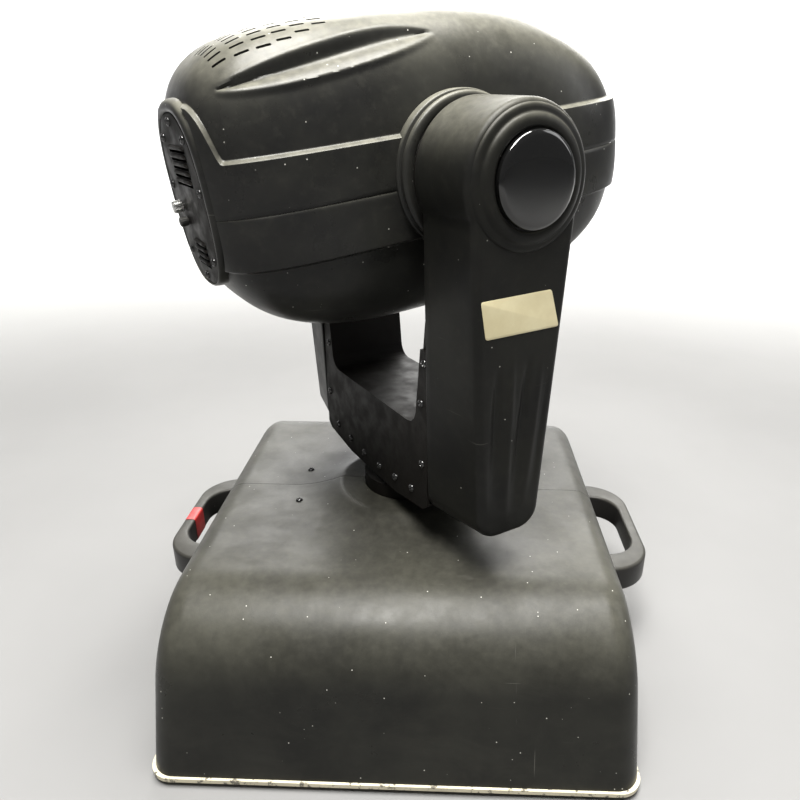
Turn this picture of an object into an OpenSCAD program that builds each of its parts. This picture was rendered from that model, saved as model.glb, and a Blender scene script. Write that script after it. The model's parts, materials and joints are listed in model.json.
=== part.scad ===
// Moving head light: a spot fixture with a panning yoke and a tilting head on a ballast base.
// Millimetres, +Z up, origin on the ground under the pan axis. +Y is the side with the connectors.

/* [Base] */
// Width of the base at its rim, left to right
base_w = 420; // [400:1:440]
// Depth of the base at its rim, front to back
base_d = 488; // [470:1:500]
// Height of the flat top of the base above the ground
base_h = 157; // [150:1:162]
// Lean of the front and rear faces, in degrees from vertical
face_lean = 11; // [9:0.5:13]
// Lean of the left and right faces, in degrees from vertical
side_lean = 3.8; // [2:0.1:5]
// Radius of the long rolled edges at the top front and top rear
roll_r = 82; // [70:1:90]
// Radius of the top left and top right edges
side_r = 24; // [16:1:30]
// Radius of the upright corners
corner_r = 20; // [14:1:26]
// Height of the rubber feet
foot_h = 6; // [4:0.5:8]

/* [Carrying handles] */
// Distance that each handle stands out from the pan axis
handle_reach = 256; // [248:1:262]
// Length of each handle, front to back
handle_len = 170; // [160:1:180]
// Height of each handle's grip
handle_h = 28; // [22:1:32]

/* [Pan] */
// Turn of the yoke at rest, in degrees from straight ahead
rest_pan = 33; // [0:1:60]
// Outer radius of the pan tube
pan_tube_r = 20; // [18:0.5:21]

/* [Yoke] */
// Height of the tilt axis above the ground
tilt_z = 490; // [486:1:500]
// Height of the floor between the arms
gap_z = 277; // [270:1:280]
// Half the space between the arms at the floor
gap_half_low = 88; // [86:1:90]
// Radius of the corners of the floor between the arms
gap_corner_r = 16; // [12:1:20]
// Half the space between the arms at the head's pivot
gap_half_high = 106; // [104:0.5:108]
// Distance from the pan axis to the outer face of the near arm
near_arm_out = 176; // [172:1:180]
// Distance from the pan axis to the outer face of the far arm
far_arm_out = 167; // [164:1:172]

/* [Head] */
// Lift of the lens end at rest, in degrees
rest_tilt = 7.5; // [0:0.5:15]
// Half the width of the shells
head_half_w = 87; // [84:1:88]
// Height of the crown above the tilt axis
head_top = 123.5; // [118:0.5:126]
// Depth of the keel below the tilt axis
head_bottom = 121.5; // [116:0.5:124]
// Distance from the tilt axis to the tip of the front
head_front = 203; // [198:1:204]
// Distance from the tilt axis to the rear end of the shells
head_rear = 194; // [192:0.5:196]
// Radius of the front lens
lens_r = 50; // [46:1:52]

/* [Walls and fits] */
// Thickness of the moulded covers
wall = 3; // [2.5:0.5:3.5]
// Thickness of the sheet metal
sheet = 3; // [2:0.5:3]
// Radial clearance of a turning or sliding fit
run_fit = 0.05; // [0.02:0.01:0.09]

/* [Hidden] */
$fn = 64;
eps = 0.01;
// Gap left between two covers that meet
seam = 0.4;

// Colours
black_plastic = [0.09, 0.09, 0.085];
black_metal = [0.07, 0.07, 0.07];
bare_metal = [0.72, 0.72, 0.74];
cream = [0.92, 0.88, 0.65];
rubber = [0.03, 0.03, 0.03];

// Base
plate_top = foot_h + sheet;
rim_top = plate_top + 1;
rim_out = 1.5;
foot_r = 14;
foot_x = 165;
foot_y = 195;
rig_x = 150;
rig_y = 60;
rig_hole_r = 4.25;
top_w = base_w - 2 * (base_h - foot_h) * tan(side_lean);
top_d = base_d - 2 * (base_h - foot_h) * tan(face_lean);
mound_foot_r = 102;
mound_top_r = 72;
mound_h = 12;
collar_in_r = 36;
collar_out_r = 46.5;
collar_top = base_h + mound_h + 14;
screw_r = 2;
screw_head_r = 4;
screw_head_h = 2.4;
cover_screw_x = 113;
cover_screw_y = 33;

// Handles
handle_y = 16;
handle_z = 92;
handle_corner = 44;
grip_t = 12;
grip_end = 28;
handle_screw_r = 2.5;
handle_screw_y = handle_len / 2 - grip_end / 2;

// Pan drive
bridge_z = 137;
bridge_w = 220;
bridge_d = 130;
pan_tube_bore = 16;
pulley_r = 36;
pulley_flange_r = 38;
pinion_r = 9;
belt_t = 2;
belt_gap = 0.4;
belt_w = 12;
yoke_floor_z = 190;
pan_bearing_h = 14;
pan_bearing_r = 34;
pan_pulley_z = yoke_floor_z + pan_bearing_h + 2;
pulley_w = 16;
pan_motor_y = 128;
motor_size = 56;
motor_shaft_r = 3.15;
pan_motor_z = pan_pulley_z + pulley_w + 6;
pan_motor_h = 52;

// Yoke
yoke_half = 43;
plate_half = 110;
plate_top_z = 351;
arm_low_z = 199;
straight_drop = 73;
bearing_r = 26;
bearing_w = 14;
axle_r = 15;
axle_bore = 10;
barrel_in_r = 56;
barrel_out_r = 53.5;
arm_top_r = 49;
arm_low_in = 43;
arm_low_out = 31;
arm_corner = 20;
boss_r = 42;
boss_h = 6;
cap_r = 33.5;
cap_h = 5;
bracket_y = 144;
tilt_drop = 135;
tilt_pulley_y = 150;
tilt_motor_len = 32;

// Distance from the pan axis and drop below the tilt axis of each screw in a yoke plate
yoke_screw_places = [[104, 150], [99, 188], [101, 246], [82, 280], [50, 284], [17, 287]];

// Head
shell_n = 3.2;
rear_n = 4.4;
keel_n = 3;
plan_rear_n = 5;
plan_front_n = 4;
head_mid = (head_front - head_rear) / 2;
head_half_l = (head_front + head_rear) / 2;
belt_proud = 5;
belt_top = 34;
belt_bottom = -44;
parting_z = -4;
ring_r = 61;
ring_out = 102;
shell_end = 188;
rear_plate_x = 195;
oval_half_w = 51;
oval_half_h = 64;
oval_z = 4;
bezel_r = 58;
bezel_x = 194;
bezel_len = 34;
chassis_y = 69;
chassis_back = -150;
chassis_front = 120;
bulkhead_x = -60;
wheel_drop = 44;
wheel_pin_r = 4;
rod_y = 48;
rod_r = 3;
// Distance from the middle of the oval of each screw in the rear plate, across and up
head_screw_places = [[0, 58], [32, 46], [-32, 46], [44, 10], [-44, 10], [34, -42], [-34, -42], [0, -58]];
rear_skin = 4;
knob_y = 22;
knob_z = -1;
lock_y = 20;
lock_z = -13;

// ---- Placing ----

// Turns from the frame to the yoke's own axes: +X ahead, near arm on -Y
module in_yoke() {
  rotate([0, 0, rest_pan]) children();
}

// Turns to the head's own axes: +X out of the lens, origin on the tilt axis
module in_head() {
  in_yoke() translate([0, 0, tilt_z]) rotate([0, -rest_tilt, 0]) children();
}

// Lays a panel piece on the rear face: X across, Y out of the face, Z up the face
module on_rear_face() {
  translate([0, base_d / 2, foot_h]) rotate([face_lean, 0, 0]) children();
}

// Extrudes an outline of (y, z) points from x0 to x1
module along_x(x0, x1) {
  translate([x0, 0, 0]) rotate([90, 0, 90]) linear_extrude(x1 - x0) children();
}

// Extrudes an outline of (x, z) points from y0 to y1
module along_y(y0, y1) {
  translate([0, y1, 0]) rotate([90, 0, 0]) linear_extrude(y1 - y0) children();
}

// A round bar from a to b along X
module rod_x(a, b, r) {
  translate([a, 0, 0]) rotate([0, 90, 0]) cylinder(h = b - a, r = r);
}

// A round bar from a to b along Y
module rod_y_axis(a, b, r) {
  translate([0, b, 0]) rotate([90, 0, 0]) cylinder(h = b - a, r = r);
}

// ---- Outlines ----

function arc(cx, cy, r, a0, a1, n) =
  [for (i = [0:n]) [cx + r * cos(a0 + (a1 - a0) * i / n), cy + r * sin(a0 + (a1 - a0) * i / n)]];

// Half of a leaning box with a rolled top edge, from the rim to the crown, on the positive side
function rolled_half(half, lean, r, low, high) =
  let (c = half - (r + sin(lean) * (high - r - low)) / cos(lean))
  concat([[half, low]], arc(c, high - r, r, lean, 90, 12));

function flip(points) = [for (i = [len(points) - 1:-1:0]) [-points[i][0], points[i][1]]];

module rolled_outline(half, lean, r, low, high) {
  side = rolled_half(half, lean, r, low, high);
  polygon(concat(side, flip(side)));
}

// A quarter of a superellipse, from the +X end to the +Y end, with signs sx and sy
function super_quarter(a, b, n, sx, sy) =
  [for (i = [0:10]) [sx * a * pow(cos(9 * i), 2 / n), sy * b * pow(sin(9 * i), 2 / n)]];

function backwards(points) = [for (i = [len(points) - 1:-1:0]) points[i]];

// Side view of the head's shells, inset by d
function head_side(d) = concat(
  super_quarter(head_half_l - d, head_top - d, 2, 1, 1),
  backwards(super_quarter(head_half_l - d, head_top - d, rear_n, -1, 1)),
  super_quarter(head_half_l - d, head_bottom - d, keel_n, -1, -1),
  backwards(super_quarter(head_half_l - d, head_bottom - d, keel_n, 1, -1))
);

// Plan view of the head's shells, with half width w
function head_plan(w, d) = concat(
  super_quarter(head_half_l - d, w - d, plan_front_n, 1, 1),
  backwards(super_quarter(head_half_l - d, w - d, plan_rear_n, -1, 1)),
  super_quarter(head_half_l - d, w - d, plan_rear_n, -1, -1),
  backwards(super_quarter(head_half_l - d, w - d, plan_front_n, 1, -1))
);

// Cross section of the head's shells, inset by d
function head_section(d) = concat(
  super_quarter(head_half_w - d, head_top - d, shell_n, 1, 1),
  backwards(super_quarter(head_half_w - d, head_top - d, shell_n, -1, 1)),
  super_quarter(head_half_w - d, head_bottom - d, shell_n, -1, -1),
  backwards(super_quarter(head_half_w - d, head_bottom - d, shell_n, 1, -1))
);

module rounded_rect(w, d, r) {
  square([w - 2 * r, d], center = true);
  square([w, d - 2 * r], center = true);
  for (x = [-1, 1], y = [-1, 1]) {
    translate([x * (w / 2 - r), y * (d / 2 - r)]) circle(r);
  }
}

// ---- Fasteners ----

// A pan head screw with its head on z = 0 and its shank going down
module screw(length) {
  cylinder(h = screw_head_h, r1 = screw_head_r, r2 = screw_head_r - 1);
  translate([0, 0, -length]) cylinder(h = length, r = screw_r);
}

// ---- Base ----

// The outer form of the base, inset by d
module base_form(d) {
  low = rim_top - d * eps;
  intersection() {
    hull() {
      translate([0, 0, low]) linear_extrude(eps)
        rounded_rect(base_w - 2 * d, base_d - 2 * d, corner_r - d, $fn = 32);
      translate([0, 0, base_h - d]) linear_extrude(eps)
        rounded_rect(top_w - 2 * d, top_d - 2 * d, corner_r - d, $fn = 32);
    }
    along_x(-base_w, base_w) rolled_outline(base_d / 2 - d, face_lean, roll_r - d, foot_h, base_h - d);
    along_y(-base_d, base_d) rolled_outline(base_w / 2 - d, side_lean, side_r - d, foot_h, base_h - d);
  }
}

module mound(d) {
  translate([0, 0, base_h - roll_r / 4]) cylinder(h = roll_r / 4 - d, r = mound_foot_r - d);
  translate([0, 0, base_h - d]) cylinder(h = mound_h, r1 = mound_foot_r - d, r2 = mound_top_r - d);
}

module base_shell() {
  difference() {
    union() {
      base_form(0);
      mound(0);
    }
    base_form(wall);
    translate([0, 0, rim_top - 1]) linear_extrude(1 + 2 * eps)
      rounded_rect(base_w - 2 * wall, base_d - 2 * wall, corner_r - wall);
    mound(wall);
    translate([0, 0, base_h - roll_r]) cylinder(h = 2 * roll_r, r = collar_out_r + 0.5);
    for (x = [-1, 1], y = [-1, 1]) {
      translate([x * cover_screw_x, y * cover_screw_y, base_h - 10]) cylinder(h = 20, r = screw_r);
    }
    for (y = [-1, 1]) {
      translate([0, handle_y + y * handle_screw_y, handle_z]) rod_x(-base_w, base_w, handle_screw_r);
    }
  }
}

module base_plate() {
  color(cream) difference() {
    union() {
      translate([0, 0, foot_h]) linear_extrude(sheet)
        rounded_rect(base_w + 2 * rim_out, base_d + 2 * rim_out, corner_r);
      difference() {
        translate([0, 0, plate_top - eps]) linear_extrude(rim_top - plate_top + eps)
          rounded_rect(base_w + 2 * rim_out, base_d + 2 * rim_out, corner_r);
        translate([0, 0, foot_h]) linear_extrude(base_h)
          rounded_rect(base_w - 2 * wall, base_d - 2 * wall, corner_r);
      }
    }
    for (x = [-1, 1], y = [-1, 1]) {
      translate([x * rig_x, y * rig_y, 0]) cylinder(h = 30, r = rig_hole_r);
    }
  }
}

module rubber_feet() {
  color(rubber) for (x = [-1, 1], y = [-1, 1]) {
    translate([x * foot_x, y * foot_y, 0]) cylinder(h = foot_h, r1 = foot_r - 1, r2 = foot_r);
  }
}

module front_cover() {
  color(black_plastic) intersection() {
    base_shell();
    translate([-base_w, -base_d, 0]) cube([2 * base_w, base_d - seam / 2, 2 * base_h]);
  }
}

module rear_cover() {
  color(black_plastic) difference() {
    intersection() {
      base_shell();
      translate([-base_w, seam / 2, 0]) cube([2 * base_w, base_d, 2 * base_h]);
    }
    on_rear_face() translate([0, 0, panel_z]) along_y(-20, 20) square([panel_w, panel_h], center = true);
  }
}

module cover_screws() {
  color(black_metal) for (x = [-1, 1], y = [-1, 1]) {
    translate([x * cover_screw_x, y * cover_screw_y, base_h]) screw(9);
  }
}

module handle_outline() {
  difference() {
    translate([0, handle_y]) rounded_rect(2 * handle_reach, handle_len, handle_corner);
    translate([0, handle_y])
      rounded_rect(2 * (handle_reach - grip_t), handle_len - 2 * grip_end, handle_corner - grip_t);
    translate([-base_w / 2 + 10, handle_y - handle_len]) square([base_w - 20, 2 * handle_len]);
  }
}

module handle(side) {
  color(black_plastic) difference() {
    intersection() {
      translate([0, 0, handle_z - handle_h / 2]) linear_extrude(handle_h) handle_outline();
      translate([side < 0 ? -2 * base_w : 0, -base_d, 0]) cube([2 * base_w, 2 * base_d, base_h]);
    }
    base_form(0);
    for (y = [-1, 1]) {
      translate([0, handle_y + y * handle_screw_y, handle_z])
        rod_x(-base_w / 2 - 12, base_w / 2 + 12, handle_screw_r);
    }
  }
}

module left_handle() {
  handle(-1);
}

module right_handle() {
  handle(1);
}

// The shank starts where the head meets the inside of the cover
module handle_screws() {
  inside = base_w / 2 - (handle_z - foot_h) * tan(side_lean) - wall - 1;
  color(bare_metal) for (y = [-1, 1], side = [-1, 1]) {
    translate([0, handle_y + y * handle_screw_y, handle_z]) scale([side, 1, 1]) {
      rod_x(inside, base_w / 2 + 12, handle_screw_r);
      rod_x(inside - 3, inside, 2 * handle_screw_r);
    }
  }
}

module chassis_bridge() {
  color(bare_metal) difference() {
    union() {
      translate([-bridge_w / 2, -bridge_d / 2, bridge_z]) cube([bridge_w, bridge_d, sheet]);
      for (side = [0, 1]) {
        mirror([side, 0, 0]) {
          translate([bridge_w / 2 - sheet, -bridge_d / 2, plate_top])
            cube([sheet, bridge_d, bridge_z + sheet - plate_top]);
          translate([bridge_w / 2 - 24, -bridge_d / 2, plate_top]) cube([24, bridge_d, sheet]);
        }
      }
    }
    translate([0, 0, bridge_z - 5]) cylinder(h = 15, r = pan_tube_r);
  }
}

module turret_collar() {
  color(black_metal) translate([0, 0, bridge_z + sheet]) difference() {
    cylinder(h = collar_top - bridge_z - sheet, r = collar_out_r);
    translate([0, 0, -1]) cylinder(h = 80, r = collar_in_r);
  }
}

module pan_tube() {
  color(bare_metal) difference() {
    union() {
      translate([0, 0, bridge_z - 8]) cylinder(h = pan_pulley_z + pulley_w + 8 - bridge_z, r = pan_tube_r);
      translate([0, 0, bridge_z + sheet]) cylinder(h = 6, r = collar_in_r);
    }
    translate([0, 0, bridge_z - 10]) cylinder(h = 120, r = pan_tube_bore);
  }
}

// A toothed belt pulley on the Z axis with a flange at each end
module pulley(r, flange_r, bore, w) {
  difference() {
    union() {
      cylinder(h = w, r = r);
      cylinder(h = 1.5, r = flange_r);
      translate([0, 0, w - 1.5]) cylinder(h = 1.5, r = flange_r);
    }
    translate([0, 0, -1]) cylinder(h = w + 2, r = bore);
  }
}

module pan_pulley() {
  color(bare_metal) translate([0, 0, pan_pulley_z]) pulley(pulley_r, pulley_flange_r, pan_tube_r, pulley_w);
}

// ---- Control panel on the rear face ----

panel_w = 280;
panel_h = 54;
panel_z = 46;
panel_t = 3;
window_w = 70;
window_h = 22;
window_z = 56;
button_r = 5;
button_gap = 0.5;
button_z = 32;
button_pitch = 18;
socket_r = 12;
socket_x = [62, 96];
inlet_x = -108;
inlet_w = 48;
inlet_h = 28;
switch_x = -66;
switch_z = 57;
switch_w = 20;
switch_h = 15;
fuse_z = 34;
fuse_r = 7;

module control_panel() {
  color(black_metal) on_rear_face() difference() {
    translate([0, 0, panel_z]) along_y(-panel_t, 0) square([panel_w - seam, panel_h - seam], center = true);
    translate([0, 0, window_z]) along_y(-9, 9) square([window_w, window_h], center = true);
    for (i = [0:3]) {
      translate([(i - 1.5) * button_pitch, 0, button_z]) rod_y_axis(-9, 9, button_r + button_gap);
    }
    for (x = socket_x) {
      translate([x, 0, panel_z]) rod_y_axis(-9, 9, socket_r);
    }
    translate([inlet_x, 0, panel_z]) along_y(-9, 9) square([inlet_w, inlet_h], center = true);
    translate([switch_x, 0, switch_z]) along_y(-9, 9) square([switch_w, switch_h], center = true);
    translate([switch_x, 0, fuse_z]) rod_y_axis(-9, 9, fuse_r);
  }
}

module display_window() {
  color([0.1, 0.02, 0.02]) on_rear_face() translate([0, 0, window_z])
    along_y(-panel_t, 0.4) square([window_w, window_h], center = true);
}

module power_inlet() {
  color(rubber) on_rear_face() translate([inlet_x, 0, panel_z]) {
    difference() {
      along_y(-24, 1) square([inlet_w, inlet_h], center = true);
      along_y(-18, 2) square([inlet_w - 20, inlet_h - 8], center = true);
    }
    for (x = [-8, 0, 8]) {
      translate([x, 0, x == 0 ? 3 : -3]) along_y(-19, -4) square([2, 5], center = true);
    }
  }
}

module fuse_holder() {
  color(rubber) on_rear_face() translate([switch_x, 0, fuse_z]) {
    rod_y_axis(-26, 1, fuse_r);
    rod_y_axis(1, 2.5, fuse_r - 1.5);
  }
}

module dmx_socket(x, female) {
  color(bare_metal) on_rear_face() translate([x, 0, panel_z]) {
    difference() {
      rod_y_axis(-22, 1, socket_r);
      if (!female) rod_y_axis(-16, 2, socket_r - 2);
      if (female) for (a = [90, 210, 330]) {
        translate([5.5 * cos(a), 0, 5.5 * sin(a)]) rod_y_axis(-12, 2, 1.4);
      }
    }
    if (!female) for (a = [90, 210, 330]) {
      translate([5.5 * cos(a), 0, 5.5 * sin(a)]) rod_y_axis(-17, -3, 1.2);
    }
  }
}

module dmx_in_socket() {
  dmx_socket(socket_x[0], false);
}

module dmx_out_socket() {
  dmx_socket(socket_x[1], true);
}

// A rocker that turns on its own barrel; at rest its upper edge is in
module power_switch() {
  color(rubber) on_rear_face() translate([switch_x, -3.5, switch_z]) {
    rod_x(1 - switch_w / 2, switch_w / 2 - 1, 5);
    rotate([10, 0, 0]) translate([1 - switch_w / 2, 1, -5.5]) cube([switch_w - 2, 4.5, 11]);
  }
}

module menu_button(i) {
  color(bare_metal) on_rear_face() translate([(i - 1.5) * button_pitch, 0, button_z]) {
    rod_y_axis(-panel_t - 1, 2, button_r);
    rod_y_axis(-panel_t - 4, -panel_t - seam, button_r + 2);
  }
}

module menu_button_1() {
  menu_button(0);
}

module menu_button_2() {
  menu_button(1);
}

module menu_button_3() {
  menu_button(2);
}

module menu_button_4() {
  menu_button(3);
}

// ---- Electrics in the base ----

module ballast() {
  color([0.25, 0.25, 0.27]) translate([-95, -150, plate_top]) {
    translate([-45, -38, 0]) cube([90, 76, 8]);
    translate([-35, -32, 8]) cube([70, 64, 62]);
    translate([-42, -20, 18]) cube([84, 40, 42]);
  }
}

module power_supply() {
  color(bare_metal) translate([85, -150, plate_top]) {
    translate([-60, -42, 0]) cube([120, 84, 2]);
    translate([-56, -40, 2]) cube([112, 80, 44]);
  }
}

module control_board() {
  color([0.1, 0.3, 0.16]) translate([0, 120, plate_top]) {
    for (x = [-70, 70], y = [-35, 35]) {
      translate([x, y, 0]) cylinder(h = 8, r = 3);
    }
    translate([-80, -45, 8]) cube([160, 90, 1.6]);
    translate([-60, -30, 9.6]) cube([50, 30, 12]);
    translate([10, -20, 9.6]) cube([30, 30, 4]);
  }
}

// ---- Yoke ----

// Rounded lower corner of the space between the arms, moved outwards by o
function gap_corner(side, o) =
  let (slope = atan((gap_half_high - gap_half_low) / (tilt_z - straight_drop - gap_z)))
  let (mid = gap_half_low - gap_corner_r * (1 - sin(slope)) / cos(slope))
  [for (i = [0:6]) let (a = (90 - slope) * (side > 0 ? i : 6 - i) / 6) [
    side * (mid + (gap_corner_r + o) * sin(a)), gap_z + gap_corner_r - (gap_corner_r + o) * cos(a)
  ]];

// Path round the space between the arms, moved outwards by o
function gap_path(o) = concat(
  [[-(gap_half_high + o), tilt_z], [-(gap_half_high + o), tilt_z - straight_drop]],
  gap_corner(-1, o), gap_corner(1, o),
  [[gap_half_high + o, tilt_z - straight_drop], [gap_half_high + o, tilt_z]]
);

function gap_half_at(z) =
  gap_half_low + (z - gap_z) * (gap_half_high - gap_half_low) / (tilt_z - straight_drop - gap_z);

// A disc at the tilt axis on the arm on the given side
module wall_disc(side, r, from, to) {
  scale([1, side, 1]) translate([0, 0, tilt_z]) rod_y_axis(from, to, r);
}

// Lower edge of the yoke as (y, z) points, raised by lift
function keel_edge(lift) = [
  [7 - plate_half, arm_low_z - 1 + lift], [-50, yoke_floor_z + lift],
  [50, yoke_floor_z + lift], [plate_half - 7, arm_low_z - 1 + lift]
];

module yoke_walls() {
  inner = yoke_half - sheet;
  wall_out = gap_half_high + sheet;
  along_x(-inner, inner) polygon(concat(gap_path(0), backwards(gap_path(sheet))));
  along_x(-inner, inner) polygon(concat(keel_edge(0), backwards(keel_edge(sheet))));
  for (side = [-1, 1]) {
    wall_disc(side, barrel_out_r, gap_half_high, wall_out);
    scale([1, side, 1]) along_y(gap_half_high, wall_out) polygon([
      [-arm_low_in, tilt_z - straight_drop], [arm_low_in, tilt_z - straight_drop],
      [arm_top_r - 1, tilt_z], [1 - arm_top_r, tilt_z]
    ]);
  }
  // Gussets between the floor and the cross member
  translate([-inner, -63, yoke_floor_z]) cube([2 * inner, sheet, gap_z - sheet - yoke_floor_z + eps]);
  for (x = [-inner, 28]) {
    translate([x, 60, yoke_floor_z]) cube([inner - 28, sheet, gap_z - sheet - yoke_floor_z + eps]);
  }
}

// Shelf and side webs for the pan motor
module pan_shelf() {
  inner = yoke_half - sheet;
  translate([-inner, 96, pan_motor_z - sheet]) cube([2 * inner, 13, sheet]);
  translate([-motor_size / 2, 96, pan_motor_z - sheet]) cube([motor_size, 62, sheet]);
  for (x = [-inner, inner - 2]) {
    translate([x, gap_half_low + 1, pan_motor_z - sheet]) cube([2, 20, gap_z + 25 - pan_motor_z]);
  }
}

// Plate and side webs for the tilt motor
module tilt_bracket() {
  half = 36;
  translate([-half, -bracket_y - sheet, tilt_z - tilt_drop - half]) cube([2 * half, sheet, 2 * half]);
  for (x = [-half, half - 2]) {
    translate([x, -bracket_y - sheet, tilt_z - tilt_drop - half]) cube([2, bracket_y - 98, 2 * half]);
  }
}

module yoke_frame() {
  color(black_metal) in_yoke() difference() {
    union() {
      yoke_walls();
      pan_shelf();
      tilt_bracket();
    }
    translate([0, 0, yoke_floor_z - 1]) cylinder(h = sheet + 2, r = pan_bearing_r);
    translate([0, 0, tilt_z]) rod_y_axis(-2 * plate_half, 2 * plate_half, bearing_r);
    translate([0, pan_motor_y, pan_motor_z - 5]) cylinder(h = 9, r = pinion_r + 2);
    translate([0, 0, tilt_z - tilt_drop]) rod_y_axis(-bracket_y - 5, -bracket_y + 2, pinion_r + 2);
    along_x(-2 * yoke_half, 2 * yoke_half) polygon(gap_path(-eps));
  }
}

module yoke_plate(x) {
  top = gap_half_at(plate_top_z);
  color(black_metal) in_yoke() difference() {
    along_x(x, x + sheet) polygon(concat(
      [[-50, yoke_floor_z], [50, yoke_floor_z], [plate_half - 7, arm_low_z - 1]],
      [[plate_half, arm_low_z + 5], [plate_half, plate_top_z - 7], [plate_half - 6, plate_top_z]],
      [[top, plate_top_z]], backwards(gap_corner(1, 0)), backwards(gap_corner(-1, 0)),
      [[-top, plate_top_z], [6 - plate_half, plate_top_z], [-plate_half, plate_top_z - 7]],
      [[-plate_half, arm_low_z + 5], [7 - plate_half, arm_low_z - 1]]
    ));
    for (side = [-1, 1], p = yoke_screw_places) {
      translate([0, side * p[0], tilt_z - p[1]]) rod_x(x - 1, x + sheet + 1, screw_r);
    }
  }
}

module yoke_front_plate() {
  yoke_plate(-yoke_half);
}

module yoke_rear_plate() {
  yoke_plate(yoke_half - sheet);
}

// One cross section of an arm cover, as a thin slice at y
module arm_slice(y, top_r, low_half, d) {
  translate([0, y, tilt_z]) rod_y_axis(-eps, eps, top_r - d, $fn = 32);
  for (x = [-1, 1]) {
    translate([x * (low_half - arm_corner), y, arm_low_z + arm_corner])
      rod_y_axis(-eps, eps, arm_corner - d, $fn = 32);
  }
}

module barrel(from, to, d) {
  translate([0, to, tilt_z]) rotate([90, 0, 0])
    cylinder(h = to - from, r1 = barrel_out_r - d, r2 = barrel_in_r - d);
}

// The near cover lies on -Y and the far one is its mirror image
module arm_cover(out) {
  open = plate_half + seam;
  difference() {
    union() {
      hull() {
        arm_slice(open, arm_top_r, arm_low_in, 0);
        arm_slice(out, arm_top_r - 1, arm_low_out, 0);
      }
      scale([1, -1, 1]) barrel(-out, -open, 0);
      translate([0, 0, tilt_z]) rod_y_axis(out - 1, out + boss_h, boss_r);
    }
    hull() {
      arm_slice(open - 1, arm_top_r, arm_low_in, wall);
      arm_slice(out - wall, arm_top_r - 1, arm_low_out, wall);
    }
    scale([1, -1, 1]) barrel(wall - out, 1 - open, wall);
    translate([0, 0, tilt_z]) rod_y_axis(out - 2 * wall, out + boss_h - wall, boss_r - wall);
  }
}

module near_arm_cover() {
  color(black_plastic) in_yoke() mirror([0, 1, 0]) arm_cover(near_arm_out);
}

module far_arm_cover() {
  color(black_plastic) in_yoke() arm_cover(far_arm_out);
}

// A domed disc set on the boss of an arm cover
module pivot_cap(out) {
  dome_r = (cap_r * cap_r + cap_h * cap_h) / (2 * cap_h);
  dome_a = asin(cap_r / dome_r);
  translate([0, out + boss_h, tilt_z]) rotate([-90, 0, 0]) rotate_extrude()
    polygon(concat([[0, 0], [cap_r, 0]], arc(0, cap_h - dome_r, dome_r, 90 - dome_a * 0.94, 90, 8)));
}

module near_pivot_cap() {
  color([0.02, 0.02, 0.02]) in_yoke() mirror([0, 1, 0]) pivot_cap(near_arm_out);
}

module far_pivot_cap() {
  color([0.02, 0.02, 0.02]) in_yoke() pivot_cap(far_arm_out);
}

module arm_label() {
  color(cream) in_yoke() translate([0, 0, tilt_z])
    along_y(-near_arm_out - eps - 0.5, -near_arm_out - eps)
      polygon([[-39, -82], [-33.5, -111.5], [36.5, -110.5], [26.5, -80]]);
}

module yoke_screws() {
  color(black_metal) in_yoke() for (side = [-1, 1], end = [-1, 1], p = yoke_screw_places) {
    translate([end * yoke_half, side * p[0], tilt_z - p[1]]) rotate([0, end * 90, 0]) screw(sheet);
  }
}

module pan_bearing() {
  color(bare_metal) translate([0, 0, yoke_floor_z]) difference() {
    cylinder(h = pan_bearing_h, r = pan_bearing_r);
    translate([0, 0, -1]) cylinder(h = pan_bearing_h + 2, r = pan_tube_r + run_fit);
  }
}

// A stepping motor with its flange on z = 0 and its shaft going down
module motor(length, shaft) {
  translate([-motor_size / 2, -motor_size / 2, 0]) cube([motor_size, motor_size, 6]);
  translate([1 - motor_size / 2, 1 - motor_size / 2, 6]) cube([motor_size - 2, motor_size - 2, length - 6]);
  translate([0, 0, -shaft]) cylinder(h = shaft, r = motor_shaft_r);
}

module pinion() {
  difference() {
    cylinder(h = belt_w, r = pinion_r);
    translate([0, 0, -1]) cylinder(h = belt_w + 2, r = motor_shaft_r + run_fit);
  }
}

// A belt round two pulleys whose centres are span apart along +X
module belt(r_big, r_small, span) {
  linear_extrude(belt_w) difference() {
    hull() {
      circle(r_big + belt_gap + belt_t);
      translate([span, 0]) circle(r_small + belt_gap + belt_t);
    }
    hull() {
      circle(r_big + belt_gap);
      translate([span, 0]) circle(r_small + belt_gap);
    }
  }
}

module pan_motor() {
  color(black_metal) in_yoke() translate([0, pan_motor_y, pan_motor_z])
    motor(pan_motor_h, pan_motor_z - pan_pulley_z);
}

module pan_pinion() {
  color(bare_metal) in_yoke() translate([0, pan_motor_y, pan_pulley_z + 2]) pinion();
}

module pan_belt() {
  color(rubber) in_yoke() translate([0, 0, pan_pulley_z + 2]) rotate([0, 0, 90])
    belt(pulley_r, pinion_r, pan_motor_y);
}

// Turns a drive that lies on +Z to the near arm, with +X of the belt pointing down
module on_near_arm(y) {
  in_yoke() translate([0, -y, tilt_z]) rotate([90, 0, 0]) rotate([0, 0, -90]) children();
}

module tilt_motor() {
  color(black_metal) on_near_arm(bracket_y) translate([tilt_drop, 0, 0]) mirror([0, 0, 1])
    motor(tilt_motor_len, tilt_pulley_y + belt_w - bracket_y + 1);
}

module tilt_pinion() {
  color(bare_metal) on_near_arm(tilt_pulley_y + 2) translate([tilt_drop, 0, 0]) pinion();
}

module tilt_belt() {
  color(rubber) on_near_arm(tilt_pulley_y + 2) belt(pulley_r, pinion_r, tilt_drop);
}

module tilt_bearings() {
  color(bare_metal) in_yoke() for (side = [-1, 1]) {
    difference() {
      wall_disc(side, bearing_r, gap_half_high, gap_half_high + bearing_w);
      wall_disc(side, axle_r + run_fit, gap_half_high - 1, gap_half_high + bearing_w + 1);
    }
  }
}

// ---- Head ----

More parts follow.
